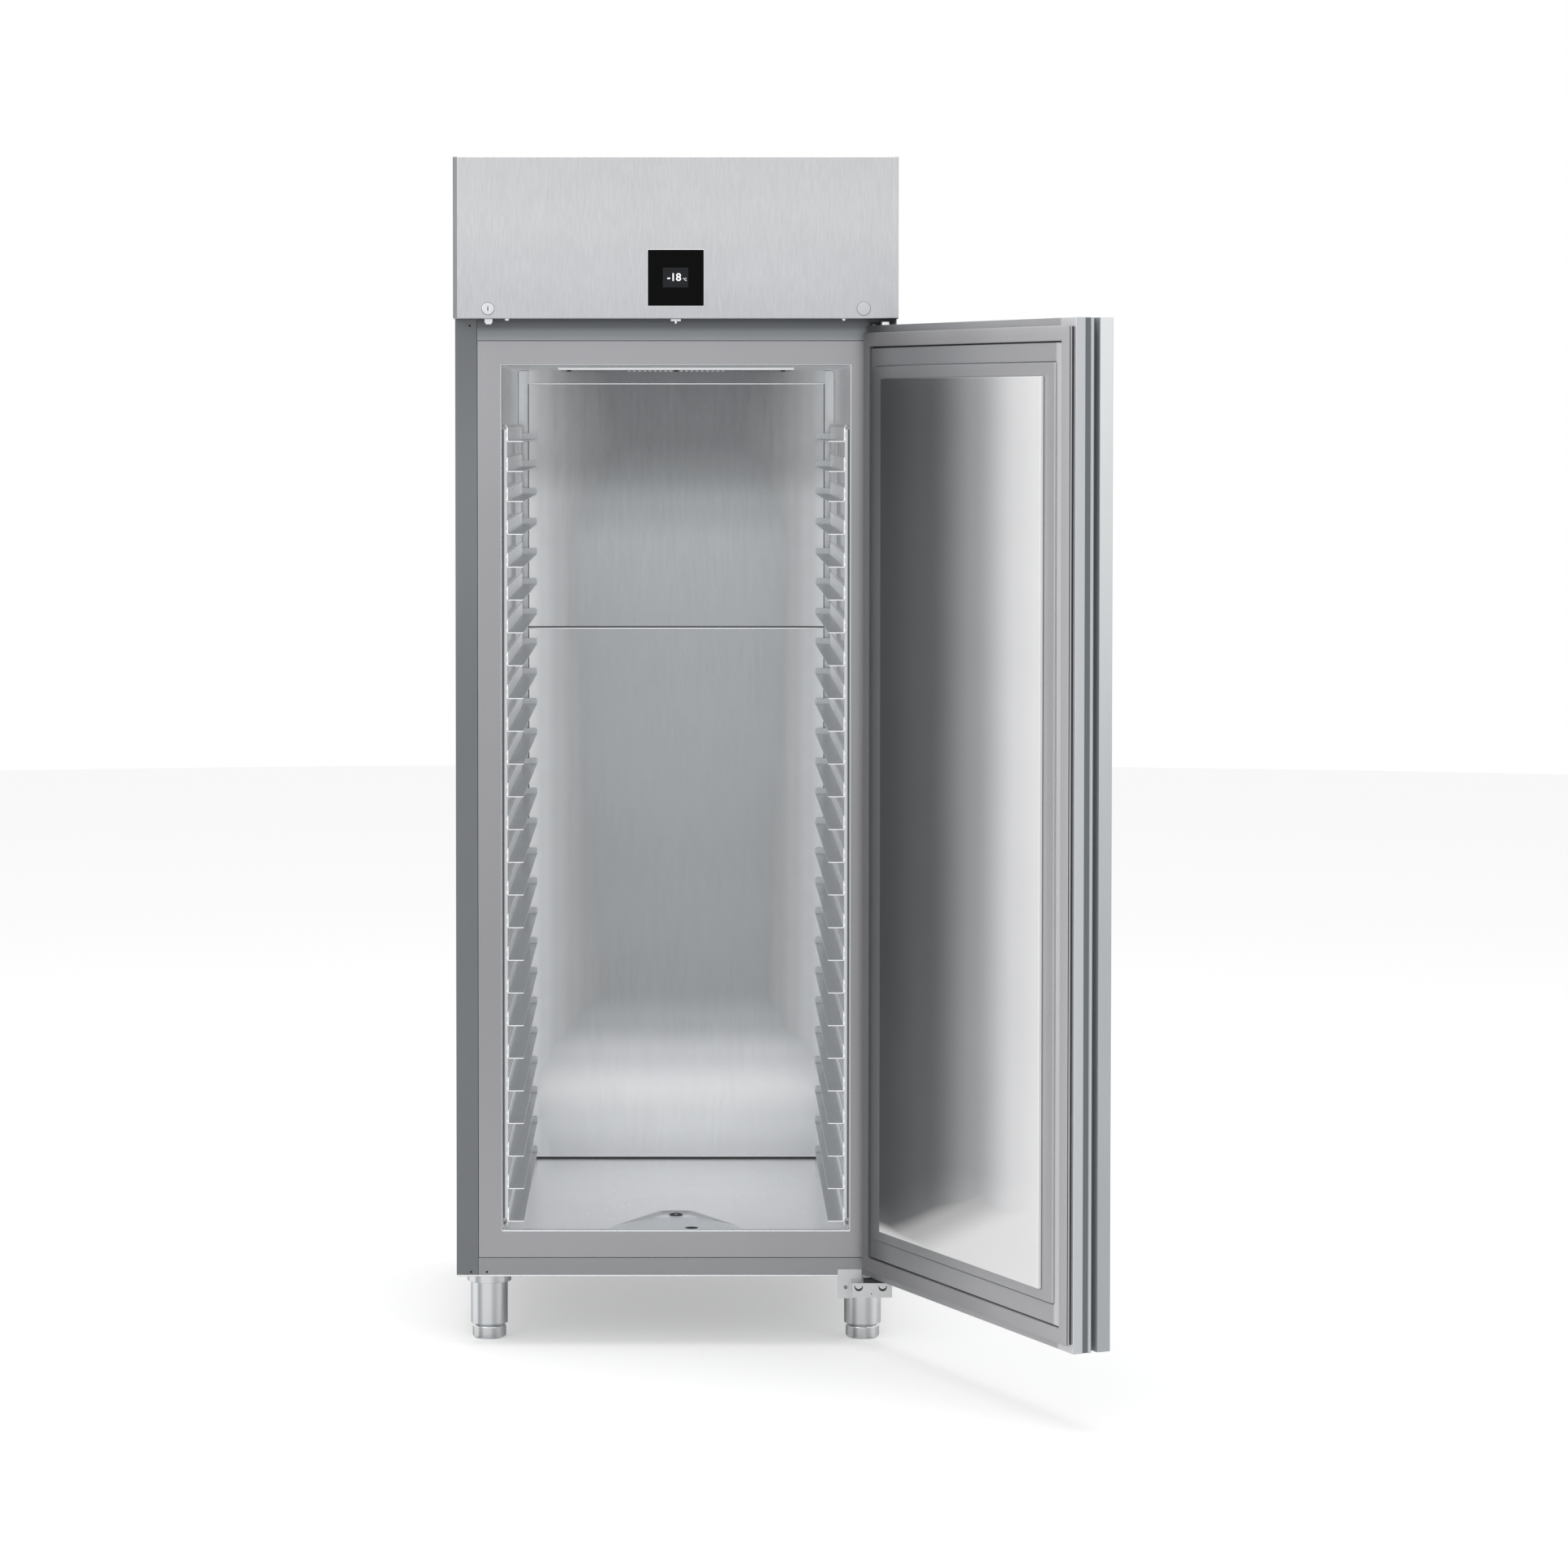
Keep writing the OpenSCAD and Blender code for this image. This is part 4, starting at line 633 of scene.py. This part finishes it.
# %% Dark joint strips and plugs beside the frame
# The dark strips in the seams beside the frame are painted shadow of the gaps.
joints = [plate((s * strip_x - 0.5, cab_front - 0.15, z0), (s * strip_x + 0.5, cab_front + 1, z1), 0.2, 0.1)
          for s in (-1, 1) for z0, z1 in ((129.5, strip_lo), (strip_hi, deck))]
piece("corner_joint_shadows", joints, black_plastic, "cabinet")
holes = [(-half + 26, 136), (-half + 26, deck - 11), (15.5 - strip_x, 136)]
plug = [(0, 0.6), (1.5, 0.6), (2.15, 0.25), (2.15, 0.98), (0, 0.98)]
piece("hole_plugs", [turned(plug, (x, cab_front, z), 1, 24) for x, z in holes],
      screw_black, "cabinet")

# %% [markdown]
# ## Front frame and its polished edge
# The frame is a flat satin band round the opening. Its inner edge is rolled and
# polished, which the eye reads as a bright line. Both are rings of rounded rectangles
# that shrink towards the opening.

# %% Front frame
wide, frame_back, roll_r = strip_x - cav_x, 11.9, 2.5

def band(steps):
    """Rings in the front plane; each step is (distance outwards from the opening's
    edge, depth behind the cabinet's front). At 0 the ring lies on the opening, and at
    full distance it reaches the frame's own outer edges, which differ side by side."""
    rings = []
    for out, deep in steps:
        t = out / wide
        low, high = cav_lo - t * (cav_lo - strip_lo), cav_hi + t * (strip_hi - cav_hi)
        rings.append(facing(window(cav_x + out, low, high, max(0.4, 2.0 + min(out, 0))), cab_front + deep))
    return stack(rings, wrap=True)

section = [(wide - 0.7, frame_back), (wide - 0.7, 0.5), (wide - 1.1, 0.1), (wide - 1.8, 0.0),
           (3.2, 0.0), (2.4, 0.5), (2.4, frame_back)]
piece("front_frame_band", [band(section)], frame_steel, "cabinet", ["front_frame"])
quarter = np.radians(np.linspace(0, 90, 6))
roll = [(roll_r - roll_r * math.sin(t), roll_r - roll_r * math.cos(t)) for t in quarter]
roll += [(0.0, frame_back), (roll_r, frame_back)]
piece("opening_edge", [band(roll)], roll_steel, "cabinet")

# %% Lower lip of the casing
piece("lower_lip", [plate((-half, cab_front - 0.3, 128.0), (half, cab_front + 1.5, 130.6), 0.6, 0.6)],
      cover_steel, "cabinet")

# %% [markdown]
# ## Liner with its drain funnel
# The cavity is one deep-drawn steel box with rounded corners. Its floor sinks towards
# the drain in a shallow V that is widest at the front. The box is a stack of
# rounded rectangles; the floor side of each has many points, and the V is a height
# that is subtracted from them.

# %% Funnel
sunk, side_run, rear_run = 5.0, 8, 13
funnel_front, funnel_deep, funnel_back = cav_front + 2, -244.0, -194.0

def smooth(t):
    """The smooth step t*t*(3 - 2t) from 0 to 1."""
    t = np.clip(t, 0, 1)
    return t ** 2 * (3 - 2 * t)

def funnel_half(y):
    """Half the V's width, which shrinks evenly from 131 at the front to 26 at the back."""
    return 131 + (26 - 131) * np.clip((y - funnel_front) / (funnel_back - funnel_front), 0, 1)

def funnel_depth(x, y):
    """Depth of the V: it grows evenly from the front edge to the drain, times a smooth
    step inside each side line |x| = half width and before the rear line."""
    deep = sunk * np.clip((y - funnel_front) / (funnel_deep - funnel_front), 0, 1)
    return deep * smooth((funnel_half(y) - np.abs(x)) / side_run) * smooth((funnel_back - y) / rear_run)

print("funnel", round(float(funnel_depth(0, -244)), 2), "mm deep at the drain")

# %% Liner
def box_ring(grow, y, sink=True):
    """One ring of the liner box, grown outwards. The floor's even points are drawn to the
    V's side lines, so that its bends fall on edges."""
    ring = facing(window(cav_x + grow, cav_lo - grow, cav_hi + grow, 6 + grow, 150, 4), y)
    if sink:
        w = funnel_half(y)
        flat = ring[:, 2] < cav_lo - grow + 0.01
        even, drawn = [-305, -130.4, -114, 114, 130.4, 305], [-305, -w, side_run - w, w - side_run, w, 305]
        ring[flat, 0] = np.interp(ring[flat, 0], even, drawn)
        ring[:, 2] -= np.where(ring[:, 2] < cav_lo + 1, funnel_depth(ring[:, 0], y), 0)
    return ring

depths = [*np.linspace(cav_front, -208, 40), *np.linspace(-207, -194, 14), -190, -150, 0, 200, cav_back - 2]
shell = [box_ring(-2, cav_back + 1, False), box_ring(1, cav_back - 2)]
shell += [box_ring(1, y) for y in depths[::-1]] + [box_ring(0, y) for y in depths]
shell += [box_ring(-0.6, cav_back - 0.6, False), box_ring(-2, cav_back, False)]
piece("liner_box", [stack(shell)], liner_steel, "cabinet", ["inner_liner"], sharp=50)

# %% Drain
drain_y, seat = -220.0, cav_lo - sunk
basket = [(0, seat - 3.5), (5.0, seat - 3.5), (6.0, seat - 2.0), (7.2, seat + 1.6), (8.2, seat + 2.6),
          (11.0, seat + 2.6), (12.0, seat + 1.8), (12.3, seat + 0.6), (12.3, seat - 12), (0, seat - 12)]
piece("strainer_basket", [turned(basket, (0, drain_y, 0))],
      black_plastic, "cabinet", ["drain_strainer"])
pin = [(0, seat + 1.9), (2.6, seat + 1.8), (3.2, seat + 1.1), (3.2, seat - 3.4), (0, seat - 3.4)]
piece("strainer_pin", [turned(pin, (0, drain_y, 0), steps=24)], cap_plastic, "cabinet")
ring = [(12.5, seat - 0.4), (12.6, seat + 0.6), (15, seat + 0.6), (17, seat - 0.2)]
piece("drain_flange", [turned(ring, (0, drain_y, 0), wrap=True)],
      liner_steel, "cabinet")

# %% Stopper, tilted as the funnel's floor is
lid_low, lid_high = planes("drain_stopper")
lid_r = (lid_high[0] - lid_low[0]) / 2
lid_x, lid_y, _ = (lid_low + lid_high) / 2
profile = [(0, 1.0), (0.3, 1.0), (0.4, 0.8), (0.8, 0.9), (0.96, 0.7), (1, 0.3), (0.98, -0.4), (0, -0.4)]
lid, faces = turned([(lid_r * r, h) for r, h in profile], (lid_x, lid_y, cav_lo))
lid[:, 2] -= (lid[:, 1] - funnel_front) * sunk / (funnel_deep - funnel_front)
piece("stopper_disc", [(lid, faces)], rubber, "cabinet", ["drain_stopper"])

# %% Edges of the duct
duct_x, duct_y, duct_top = 290.0, 417.0, 1741.0
duct_in, seam_z = duct_y + 1.5, cav_lo + 1051

def trim(z, tall, out=1.2):
    """A rolled edge across the duct: a rounded bar that stands out from its face."""
    corners = [(duct_y - out, z - tall / 2), (duct_in, z - tall / 2),
               (duct_in, z + tall / 2), (duct_y - out, z + tall / 2)]
    return prism(rounded(corners, min(out, tall) * 0.45, 3), -duct_x, duct_x, 0)

# Painted highlight: these rolled edges are real, and their finishes are brighter than the duct's, so that
# they show as light lines at the top, under the seam and along the foot.
piece("duct_edges", [trim(duct_top, 2.6), trim(seam_z - 2.4, 2.4, 0.7)],
      cover_steel, "cabinet")
piece("duct_hem", [trim(cav_lo + 5.6, 3.0, 2.4), trim(cav_lo + 10.4, 1.4, 1.0)],
      bright_steel, "cabinet")
# Black strips at the duct's seam, along its foot and down its sides: painted shadow in the gaps.
dark = [trim(seam_z + 0.3, 2.6, 0.4), trim(cav_lo + 2.0, 3.6, 0.8)]
for s in (-1, 1):
    x0, x1 = s * (duct_x - 0.6), s * (duct_x + 0.9)
    strip = rounded([(x0, duct_y - 0.3), (x1, duct_y - 0.3), (x1, duct_in), (x0, duct_in)], 0.3, 2)
    dark.append(prism(strip, cav_lo + 6, duct_top, 2))
piece("duct_joint_shadows", dark, black_plastic, "cabinet")

# %% [markdown]
# ## Rails
# Each rail is one folded strip: an upright leg against the rack, a shelf for the tray's
# edge and a turned-up stop at the rear. The cross-section with its fold radius is
# carried along the rail. Two hooks at the front hold it in the rack.

# %% Rails
pitch, top_pitch, lowest = 59.05, 53.8, 224.4
rail_low = np.arange(23) * pitch + lowest
rail_z = np.concatenate([rail_low, rail_low[-1] + top_pitch * np.array([1, 2])])
rail_x, rail_front, rail_rear, strip_t = -303.0, -391.5, 413.5, 1.5
section = rounded([(0, 0), (29, 0), (29, strip_t), (strip_t, strip_t), (strip_t, 26), (0, 26)],
                  [2.0, 0.7, 0.7, 0.5, 0.7, 0.7], 2)
stop = rounded([(1.6, 1.4), (29, 1.4), (29, 13), (1.6, 13)], [0.1, 0.1, 3, 3], 2)
hook = rounded([(0, 0), (6, 0), (6, 5), (0, 5)], 1.2, 2) * [0.35, 1]

def rail(side, z):
    """One rail: section along Y, stop across the rear and two small hooks in front."""
    parts = [prism(section + [rail_x, z], rail_front, rail_rear, 1),
             prism(stop + [rail_x, z], rail_rear - strip_t, rail_rear, 1)]
    parts += [prism(hook + [rail_x - 1.6, z + dz], rail_front - 0.6, rail_front + 4, 1) for dz in (3, 17)]
    return [(p * [side, 1, 1], f) for p, f in parts]

for side, name in ((1, "left"), (-1, "right")):
    piece("tray_rails_" + name, [part for z in rail_z for part in rail(side, z)],
          rail_steel, "cabinet", ["rails_" + name])

# %% [markdown]
# ## Legs and feet
# Turned, polished tube: a collar under the cabinet, a straight leg, and a screw foot
# with a rounded sole. A profile of radius and height is swept round the axis.

# %% Legs and feet
def arc_pairs(r, z, radius, start, end, steps=5):
    """Profile points on an arc about (r, z), angles in degrees from the radial direction."""
    t = np.radians(np.linspace(start, end, steps))
    return list(zip(r + radius * np.cos(t), z + radius * np.sin(t)))

leg = [(8.1, 27.0), (31, 27.0)] + arc_pairs(32, 28.5, 1.5, -60, 0)
leg += [(33.5, 102.6), (33.2, 103.6), (38.4, 104)] + arc_pairs(38.8, 105.2, 1.2, -60, 0)
leg += [(40, 126.8), (39.2, 128), (0, 128), (0, 80), (8.1, 80)]
places = [(-340, -310), (340, -310), (-340, 410), (340, 410)]
piece("leg_tubes", [turned(leg, (x, y, 0), steps=64, wrap=True) for x, y in places],
      polished_steel, "cabinet", ["legs"])
foot = [(0, 0), (22, 0)] + arc_pairs(24.5, 6, 6, -80, 0, 7)
foot += [(30.5, 20.5)] + arc_pairs(28, 21.2, 2.5, 0, 60, 4)
foot += [(27.6, 25.6), (26.6, 26.7), (8, 26.7), (8, 76.9), (0, 76.9)]
for node, (x, y) in zip(("front_left", "front_right", "back_left", "back_right"), places):
    body = "foot_" + "".join(word[0] for word in node.split("_"))
    piece("turned_foot_" + node, [turned(foot, (x, y, 0), steps=64)],
          polished_steel, body, ["foot_" + node])

# %% Small parts in the lower hinge block
block_y = planes("hinge_bracket_low")[0][1]
pad = [(0, 0.9), (2.2, 0.9), (2.6, 0.3), (7.2, 0.3), (7.4, 0.6), (7.4, 3), (0, 3)]
piece("block_pads", [turned(pad, (x, block_y, 118.0), 1, 32) for x in (327.5, 370.5)],
      black_plastic, "cabinet")
pin_at = (350.5, block_y, 106.0)
socket = [(1.1, 1.6), (1.2, 0.1), (1.6, -0.3), (2.6, -0.3), (2.9, 0.1), (2.9, 1.6)]
piece("block_pin", [turned(socket, pin_at, 1, 32, wrap=True)], bright_steel, "cabinet")
core = [(0, 0.6), (0.8, 0.6), (1.1, 0.8), (1.1, 1.6), (0, 1.6)]
piece("block_pin_core", [turned(core, pin_at, 1, 24)], screw_black, "cabinet")

# %% [markdown]
# ## The door
# The door is made closed, where its edges are square to the axes, and then turned
# open about its hinge axis. Liner, gasket and panel are nested rounded rectangles at
# changing depth, as a press would leave them.

# %% Open the door
def opened(part):
    """Turns points about the upright hinge axis by the swing angle."""
    p, faces = part
    c, s = math.cos(math.radians(swing)), math.sin(math.radians(swing))
    x, y = p[:, 0] - axis_x, p[:, 1] - axis_y
    return np.column_stack([axis_x + c * x - s * y, axis_y + s * x + c * y, p[:, 2]]), faces

def pressed_step(rise, r):
    """(outwards, height) of a pressed step: a hollow quarter round at its foot, a wall,
    and a full quarter round at its top."""
    t = np.radians(np.linspace(0, 90, 4))
    foot_of = np.column_stack([r - r * np.sin(t), r - r * np.cos(t)])
    top_of = np.column_stack([-(r - r * np.cos(t)), rise - r + r * np.sin(t)])
    return np.vstack([foot_of, top_of])

rim, door_x, door_lo, door_hi = -420.0, 392.5, 134.5, 1838.5
door_mid = (door_lo + door_hi) / 2
edge = dict(x=door_x, low=door_lo, high=door_hi)
field = dict(x=359.5, low=175.0, high=1798.0)
step = dict(x=341.0, low=210.5, high=1765.0)
inset = dict(x=302.0, low=229.0, high=1743.0)

def nested(at, out, height, corner):
    """A ring that lies out beyond a named rectangle, height above the door's rim."""
    ring = window(at["x"] + out, at["low"] - out, at["high"] + out, max(corner + out, 0.6))
    return facing(ring, rim + height)

def bar(a, b, low, high):
    """(outwards, height) of a bar's four corners, from a to b and from low to high."""
    return [(a, low), (b, low), (b, high), (a, high)]

print("door", 2 * door_x, "mm wide,", door_hi - door_lo, "mm high")

# %% Door liner
rings = [nested(edge, o, h, 1) for o, h in [(-1.2, -1), (0, -1), (0, -0.4), (-0.5, 0)]]
rings += [nested(field, o, h, 4) for o, h in pressed_step(8, 1.4)]
rings += [nested(step, o, 8 + h, 4) for o, h in [(2.7, 0), (2.4, -0.8), (1.0, -0.8)]]
rings += [nested(step, o, 7.2 + h, 4) for o, h in pressed_step(3.8, 1.0)]
rings += [nested(inset, 1, 11, 2), nested(inset, -6, 11, 3)]
piece("door_pressed_liner", [opened(stack(rings))],
      door_steel, "door", ["door_liner"], sharp=60)

# %% Dark beads in the liner's two joints: painted shadow along the step and round the panel
beads = [[nested(at, o, h, 3) for o, h in section]
         for at, section in ((step, bar(1.0, 2.4, 7.1, 7.8)), (inset, bar(-0.5, 1.3, 10.8, 11.6)))]
piece("liner_shadow_beads", [opened(stack(bead, wrap=True)) for bead in beads],
      spout_plastic, "door", sharp=40)

# %% Bright centre panel
panel = plate((-inset["x"], rim + 11, inset["low"]), (inset["x"], rim + 17.5, inset["high"]), 2.0, 1.4)
piece("door_bright_panel", [opened(panel)], panel_steel, "door", ["door_panel"])

# %% [markdown]
# ## Gasket
# A soft extrusion with a magnet in its crown and a bellows below it, so that it can
# follow the frame. Its section is carried round the door: crown, one deep groove,
# a rib and a second groove at the foot.

# %% Gasket
seal = dict(x=362.0, low=door_mid - 814, high=door_mid + 814)
foot_channel = dict(x=359.2, low=174.7, high=1798.3)

def round_door(at, section):
    """A section carried round a named rectangle, with 1.5 mm corners at every distance."""
    return opened(stack([nested(at, o, h, 1.5 - o) for o, h in section], wrap=True))

crown = [(0.3, 0.1), (0.0, 1.0), (0.0, 9.4), (0.5, 10.5), (1.6, 11.0), (6, 10.8), (10, 11.0), (14, 10.9)]
crown += [(18, 10.6), (21, 10.2), (23.2, 9.9), (24.6, 9.4), (25, 8.9), (24.8, 8.4), (18, 8.3), (18, 6.7)]
crown += [(24.4, 6.5), (24.7, 5.2), (24.4, 3.9), (15, 3.7), (15, 0.1)]
piece("bellows_gasket", [round_door(seal, crown)],
      gasket_vinyl, "door", ["door_gasket"], sharp=40)
# Black strips in the gasket's two grooves and in the channel at its foot: painted shadow.
dark = [round_door(foot_channel, bar(0.4, 2.6, 0, 1.2)), round_door(seal, bar(18.1, 23.8, 6.8, 8.2)),
        round_door(seal, bar(15.2, 23.4, 0.1, 3.6))]
piece("gasket_groove_shadows", dark, black_plastic, "door", sharp=40)

# %% Outer skin
y_back, lip = -421.0, front + 25
skin = rounded([(-door_x, lip), (-door_x, front), (door_x, front), (door_x, y_back), (door_x - 1, y_back),
                (door_x - 1, front + 1), (-door_x + 1, front + 1), (-door_x + 1, lip)],
               [0.4, 2.2, 2.2, 0.4, 0.4, 1.2, 1.2, 0.4], 4)
piece("door_outer_skin", [opened(prism(skin, door_lo, door_hi, 2))],
      skin_steel, "door", ["door_skin"])

# %% Grip profile
e, groove = -door_x, 18.0
g = e + groove
grip = rounded([(e + 1, front + 1), (e + 1, lip), (g, lip), (g, lip + 9), (g - 2.5, lip + 11.5),
                (e, lip + 11.5), (e, lip + 15), (e + 2.5, lip + 16.5), (e + 2.5, lip + 26),
                (e, lip + 27.5), (e, y_back), (-364, y_back), (-364, front + 1)],
               [0.3, 0.3, 1.5, 1.5, 1, 1, 0.8, 0.5, 0.5, 0.8, 0.5, 0.3, 0.3], 3)
piece("grip_extrusion", [opened(prism(grip, door_lo, door_hi, 2))],
      grip_plastic, "door", ["grip_profile"])
# The groove's lining is a darker sheet: painted shade in the recess.
lining = rounded([(e + 0.8, lip + 0.3), (g - 0.3, lip + 0.3), (g - 0.3, lip + 9.0), (g - 2.7, lip + 11.2),
                  (e + 0.8, lip + 11.2), (e + 0.8, lip + 10.8), (g - 2.9, lip + 10.8), (g - 0.7, lip + 8.8),
                  (g - 0.7, lip + 0.7), (e + 0.8, lip + 0.7)], 0.1, 1)
inlay = rounded([(e + 0.5, lip + 15.1), (e + 2.2, lip + 16.3), (e + 2.2, lip + 26.2), (e + 0.5, lip + 27.4),
                 (e + 3.5, lip + 27.4), (e + 3.5, lip + 15.1)], 0.25, 2)
for name, outline, finish in (("shaded_groove_lining", lining, groove_shade_grey), ("grip_inlay", inlay, inlay_grey)):
    strip = prism(outline, door_lo + 0.3, door_hi - 0.3, 2)
    piece(name, [opened(strip)], finish, "door")

# %% [markdown]
# ## Studio
# A pale floor, a white surround and large soft lamps. The surround is pure white for
# the camera and for reflections, and weaker as a light, so that steel mirrors a
# bright studio while the shaded sides keep their depth.

# %% Camera, fitted to the photograph's straight edges
scene = bpy.context.scene
camera = show("camera", bpy.data.cameras.new("camera"))
camera.location = (0.00805, -8.93737, 1.67488)
camera.rotation_euler = (math.radians(90 - 2.11), 0, 0)
camera.data.lens, camera.data.sensor_width = 109.306, 36
camera.data.shift_x, camera.data.shift_y = 0.0661, -0.1219
camera.data.clip_end = 60
scene.camera = camera
print("camera", round(camera.data.lens, 1), "mm")

# %% White surround
world = bpy.data.worlds.new("white studio")
scene.world = world
world.use_nodes = True
tree = world.node_tree
tree.nodes.clear()
rays = add(tree, "ShaderNodeLightPath").outputs
seen = rays["Is Camera Ray"]
for kind in ("Is Glossy Ray", "Is Transmission Ray"):
    seen = add(tree, "ShaderNodeMath", {0: seen, 1: rays[kind]}, operation="MAXIMUM").outputs[0]
power = add(tree, "ShaderNodeMapRange", {0: seen, 3: 0.7, 4: 1.0})
back = add(tree, "ShaderNodeBackground", {"Color": (1, 1, 1, 1), "Strength": power.outputs[0]})
add(tree, "ShaderNodeOutputWorld", {0: back.outputs[0]})

# %% Soft lamps
def softbox(name, place, aim, watts, size=3.6):
    """A square area lamp at place that faces aim."""
    lamp = bpy.data.lights.new(name, "AREA")
    lamp.size, lamp.energy = size, watts
    holder = show(name, lamp)
    holder.location = place
    holder.rotation_euler = Vector(np.subtract(aim, place)).to_track_quat("-Z", "Y").to_euler()
    print(name, watts, "W")

softbox("key lamp", (-3.4, -5.2, 3.6), (0, -0.3, 1.0), 40)
softbox("fill lamp", (3.8, -5.0, 3.0), (0.2, -0.4, 1.0), 30)
softbox("top lamp", (0.0, -0.6, 5.2), (0, 0, 0), 92)

# %% Floor, lifted towards white for the camera and a little for mirrors
floor_r, floor_points, camera_lift, mirror_share = 14, 96, 0.38, 0.4
floor_finish, tree = bare("pale studio floor")
rays = add(tree, "ShaderNodeLightPath").outputs
place = add(tree, "ShaderNodeTexCoord").outputs["Object"]
speck = add(tree, "ShaderNodeTexNoise", {"Vector": place, "Scale": 40.0})
pale = add(tree, "ShaderNodeMapRange", {0: speck.outputs["Fac"], 3: 0.78, 4: 0.80})
matt = add(tree, "ShaderNodeBsdfDiffuse", {"Color": pale.outputs[0]})
mirrored = add(tree, "ShaderNodeMath", {0: rays["Is Glossy Ray"], 1: mirror_share}, operation="MULTIPLY")
seen = add(tree, "ShaderNodeMath", {0: rays["Is Camera Ray"], 1: mirrored.outputs[0]}, operation="MAXIMUM")
lift = add(tree, "ShaderNodeMath", {0: seen.outputs[0], 1: camera_lift}, operation="MULTIPLY")
paler = add(tree, "ShaderNodeEmission", {"Color": (1, 1, 1, 1), "Strength": lift.outputs[0]})
both = add(tree, "ShaderNodeAddShader", {0: matt.outputs[0], 1: paler.outputs[0]})
add(tree, "ShaderNodeOutputMaterial", {0: both.outputs[0]})
a = np.linspace(0, 2 * np.pi, floor_points, endpoint=False)
disc = np.column_stack([floor_r * np.cos(a), floor_r * np.sin(a), np.zeros(floor_points)])
mesh = bpy.data.meshes.new("studio_floor")
mesh.from_pydata(disc.tolist(), [], [list(range(floor_points))])
mesh.materials.append(floor_finish)
ground = show("studio_floor", mesh)
print("floor", 2 * floor_r, "m across")

# %% View transform
scene.view_settings.view_transform = "Standard"
